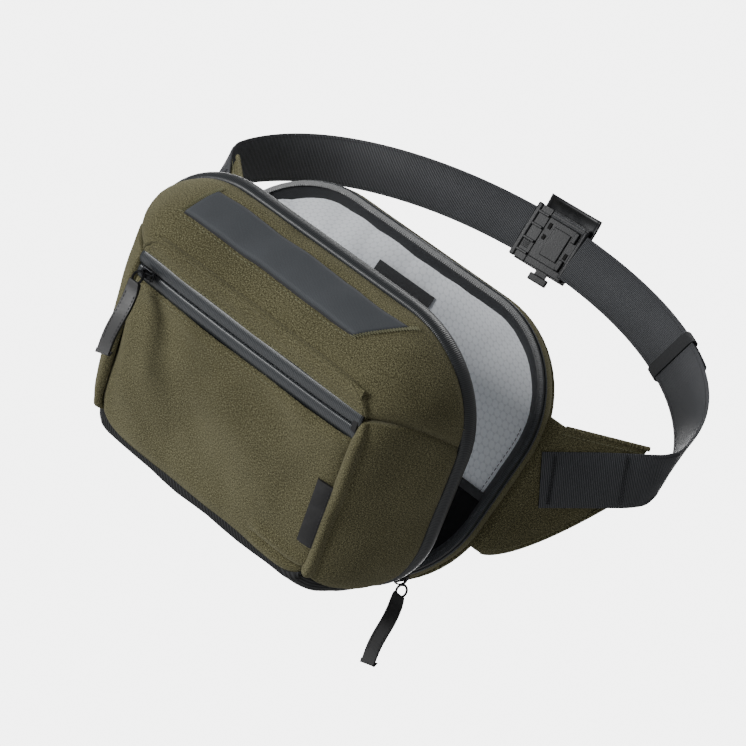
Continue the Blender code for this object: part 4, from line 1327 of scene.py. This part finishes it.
def build_buckle():
    """Two-part buckle: hook half on the left belt, slotted plate and bowed cover on the right."""
    tall = BUCKLE_HEIGHT
    hook, plate = "left_belt", "right_belt"
    rail = tall / 2 - 0.0035
    parts = [("buckle_hook", (0.0115, 0, 0), (0.0045, tall, 0.0045), hook, 0.0012, PLASTIC),
             ("buckle_hook_web", (0.0050, 0, -0.0004), (0.0098, tall - 0.001, 0.0030), hook, 0.0002, PLASTIC)]
    parts += [("buckle_hook_rib_%d" % n, (0.0055, v, 0.0010), (0.0096, 0.0022, 0.0034), hook, 0.0005, PLASTIC)
              for n, v in enumerate((-0.0165, -0.0060, 0.0060, 0.0165))]
    parts += [("buckle_hook_grip_%d" % n, (0.0058, -0.0128 + n * 0.0013, 0.0016), (0.0050, 0.0006, 0.0016),
               hook, 0.0002, PLASTIC) for n in range(5)]
    parts += [("buckle_plate", (-0.0168, 0, -0.0010), (0.0334, tall, 0.0024), plate, 0.0002, PLASTIC)]
    parts += [("buckle_rail_" + name, (-0.0170, v, 0.0011), (0.0328, 0.0060, 0.0026), plate, 0.0007, PLASTIC)
              for name, v in (("top", rail), ("bottom", -rail))]
    # Lighter strips along the rails' edges: painted highlight
    parts += [("buckle_rail_line_%d" % n, (-0.0160, v, 0.0026), (0.0290, 0.0013, 0.0012), plate, 0.0004, RAIL_HIGHLIGHT)
              for n, v in enumerate((rail + 0.0014, rail - 0.0016))]
    parts += [("buckle_panel", (-0.0150, 0, 0.0006), (0.0150, 0.0240, 0.0018), plate, 0.0006, PLASTIC),
              ("buckle_bar", (-0.0315, 0, 0.0008), (0.0036, tall - 0.004, 0.0040), plate, 0.0012, PLASTIC)]
    # Slots drawn as near-black blocks: painted shade inside each hole
    parts += [("buckle_slot_%d" % n, (u, v, 0.0003), (0.0024, height, 0.0016), plate, 0.0002, SLOT_SHADE)
              for n, (u, v, height) in enumerate(((-0.0035, 0.0105, 0.0050), (-0.0035, 0.0010, 0.0040),
                                                  (-0.0265, 0.0100, 0.0050), (-0.0265, -0.0040, 0.0050)))]
    parts += [("buckle_clip_%d" % n, (-0.0262, v, 0.0010), (0.0034, 0.0090, 0.0030), plate, 0.0006, PLASTIC)
              for n, v in enumerate((-0.0120, 0.0120))]
    centre, left, up, inner = buckle_frame()
    axes = (left, up, inner)
    for name, (u, v, w), size, body, bevel, mat in parts:
        nodes = (name,) if name in ("buckle_hook", "buckle_plate") else ()
        solid_block(name, centre + left * u + up * v + inner * w, axes, size, mat, body, nodes, bevel)
    build_buckle_cover()
    middle = box_centre("buckle_button")
    solid_block("buckle_button", middle, axes, (0.0160, 0.0060, 0.0036), PLASTIC, "buckle_button",
                ("buckle_button",), 0.001)
    solid_block("buckle_button_stem", middle + up * 0.0050, axes, (0.0100, 0.0090, 0.0016), PLASTIC,
                "buckle_button")


def build_buckle_cover():
    """Bowed outer cover with rolled edges."""
    centre, left, up, inner = buckle_frame()
    length, height = 0.0460, BUCKLE_HEIGHT + 0.0110

    def place(down, across):
        v, u = 2 * down - 1, 2 * across - 1
        bow = 0.0056 * (1 - abs(u) ** 3.0) ** 0.5 * (1 - 0.5 * v * v)
        roll = 0.0024 * abs(v) ** 6
        return (centre + left * (u * length / 2 - 0.0140) + up * (v * height / 2 + 0.0048)
                - inner * (0.0030 + bow - roll))
    sheet_mesh("buckle_cover", make_grid(24, 24, place), 0.0016, PLASTIC, "right_belt", ("buckle_cover",))


# ------------------------------------------------------------------ stage
def place_camera():
    """Camera turned about the origin; returns its right, up and back directions."""
    azimuth, elevation = math.radians(CAMERA_AZIMUTH), math.radians(CAMERA_ELEVATION)
    back = Vector((math.sin(azimuth) * math.cos(elevation), -math.cos(azimuth) * math.cos(elevation),
                   math.sin(elevation)))
    level_right = Vector((math.cos(azimuth), math.sin(azimuth), 0))
    level_up = back.cross(level_right)
    roll = math.radians(CAMERA_ROLL)
    right = level_right * math.cos(roll) + level_up * math.sin(roll)
    up = level_up * math.cos(roll) - level_right * math.sin(roll)
    place = back * CAMERA_DISTANCE + right * CAMERA_RIGHT + up * CAMERA_UP
    data = bpy.data.cameras.new("camera")
    data.lens, data.sensor_width = CAMERA_LENS, CAMERA_SENSOR
    data.clip_end = 60.0
    camera = bpy.data.objects.new("camera", data)
    camera.matrix_world = Matrix((
        (right.x, up.x, back.x, place.x), (right.y, up.y, back.y, place.y),
        (right.z, up.z, back.z, place.z), (0, 0, 0, 1)))
    bpy.context.collection.objects.link(camera)
    bpy.context.scene.camera = camera
    return right, up, back


def add_light(name, place, size, power):
    data = bpy.data.lights.new(name, "AREA")
    data.shape, data.size, data.energy = "SQUARE", size, power
    lamp = bpy.data.objects.new(name, data)
    lamp.location = place
    lamp.rotation_euler = (-Vector(place)).to_track_quat("-Z", "Y").to_euler()
    bpy.context.collection.objects.link(lamp)


def build_world(back):
    """Dim even studio light with one bright backdrop area behind the object."""
    world = bpy.data.worlds.new("studio")
    world.use_nodes = True
    nodes, links = world.node_tree.nodes, world.node_tree.links
    nodes["Background"].inputs["Color"].default_value = (1, 1, 1, 1)
    facing = nodes.new("ShaderNodeVectorMath")
    facing.operation = "DOT_PRODUCT"
    facing.inputs[1].default_value = tuple(-back)
    links.new(nodes.new("ShaderNodeTexCoord").outputs["Generated"], facing.inputs[0])
    spot = nodes.new("ShaderNodeMapRange")
    spot.inputs["From Min"].default_value = BACKDROP_OUTER
    spot.inputs["From Max"].default_value = BACKDROP_INNER
    spot.inputs["To Min"].default_value = STUDIO_LIGHT
    spot.inputs["To Max"].default_value = BACKDROP_LIGHT
    links.new(facing.outputs["Value"], spot.inputs["Value"])
    links.new(spot.outputs["Result"], nodes["Background"].inputs["Strength"])
    bpy.context.scene.world = world


def build_stage():
    """Camera, floor, world and lamps."""
    right, up, back = place_camera()
    mesh = bpy.data.meshes.new("floor")
    reach, height = 2.0, -1.3
    mesh.from_pydata([(-reach, -reach, height), (reach, -reach, height), (reach, reach, height),
                      (-reach, reach, height)], [], [(0, 1, 2, 3)])
    floor = bpy.data.objects.new("floor", mesh)
    paint = Shader("floor_paint").finish({"Base Color": (0.86, 0.86, 0.86, 1), "Roughness": 0.9})
    mesh.materials.append(paint)
    bpy.context.collection.objects.link(floor)
    build_world(back)
    add_light("key", back * 1.2 + up * 1.0 - right * 1.5, 0.8, KEY_POWER)
    add_light("rim", back * -0.5 + up * 1.3 + right * 0.9, 0.7, RIM_POWER)


build_stage()
build_front_shell()
build_back_pad()
build_back_wall()
build_back_inside()
build_gussets()
build_sliders()
for wing_side in (-1, 1):
    build_wing(wing_side)
build_belt()
build_buckle()
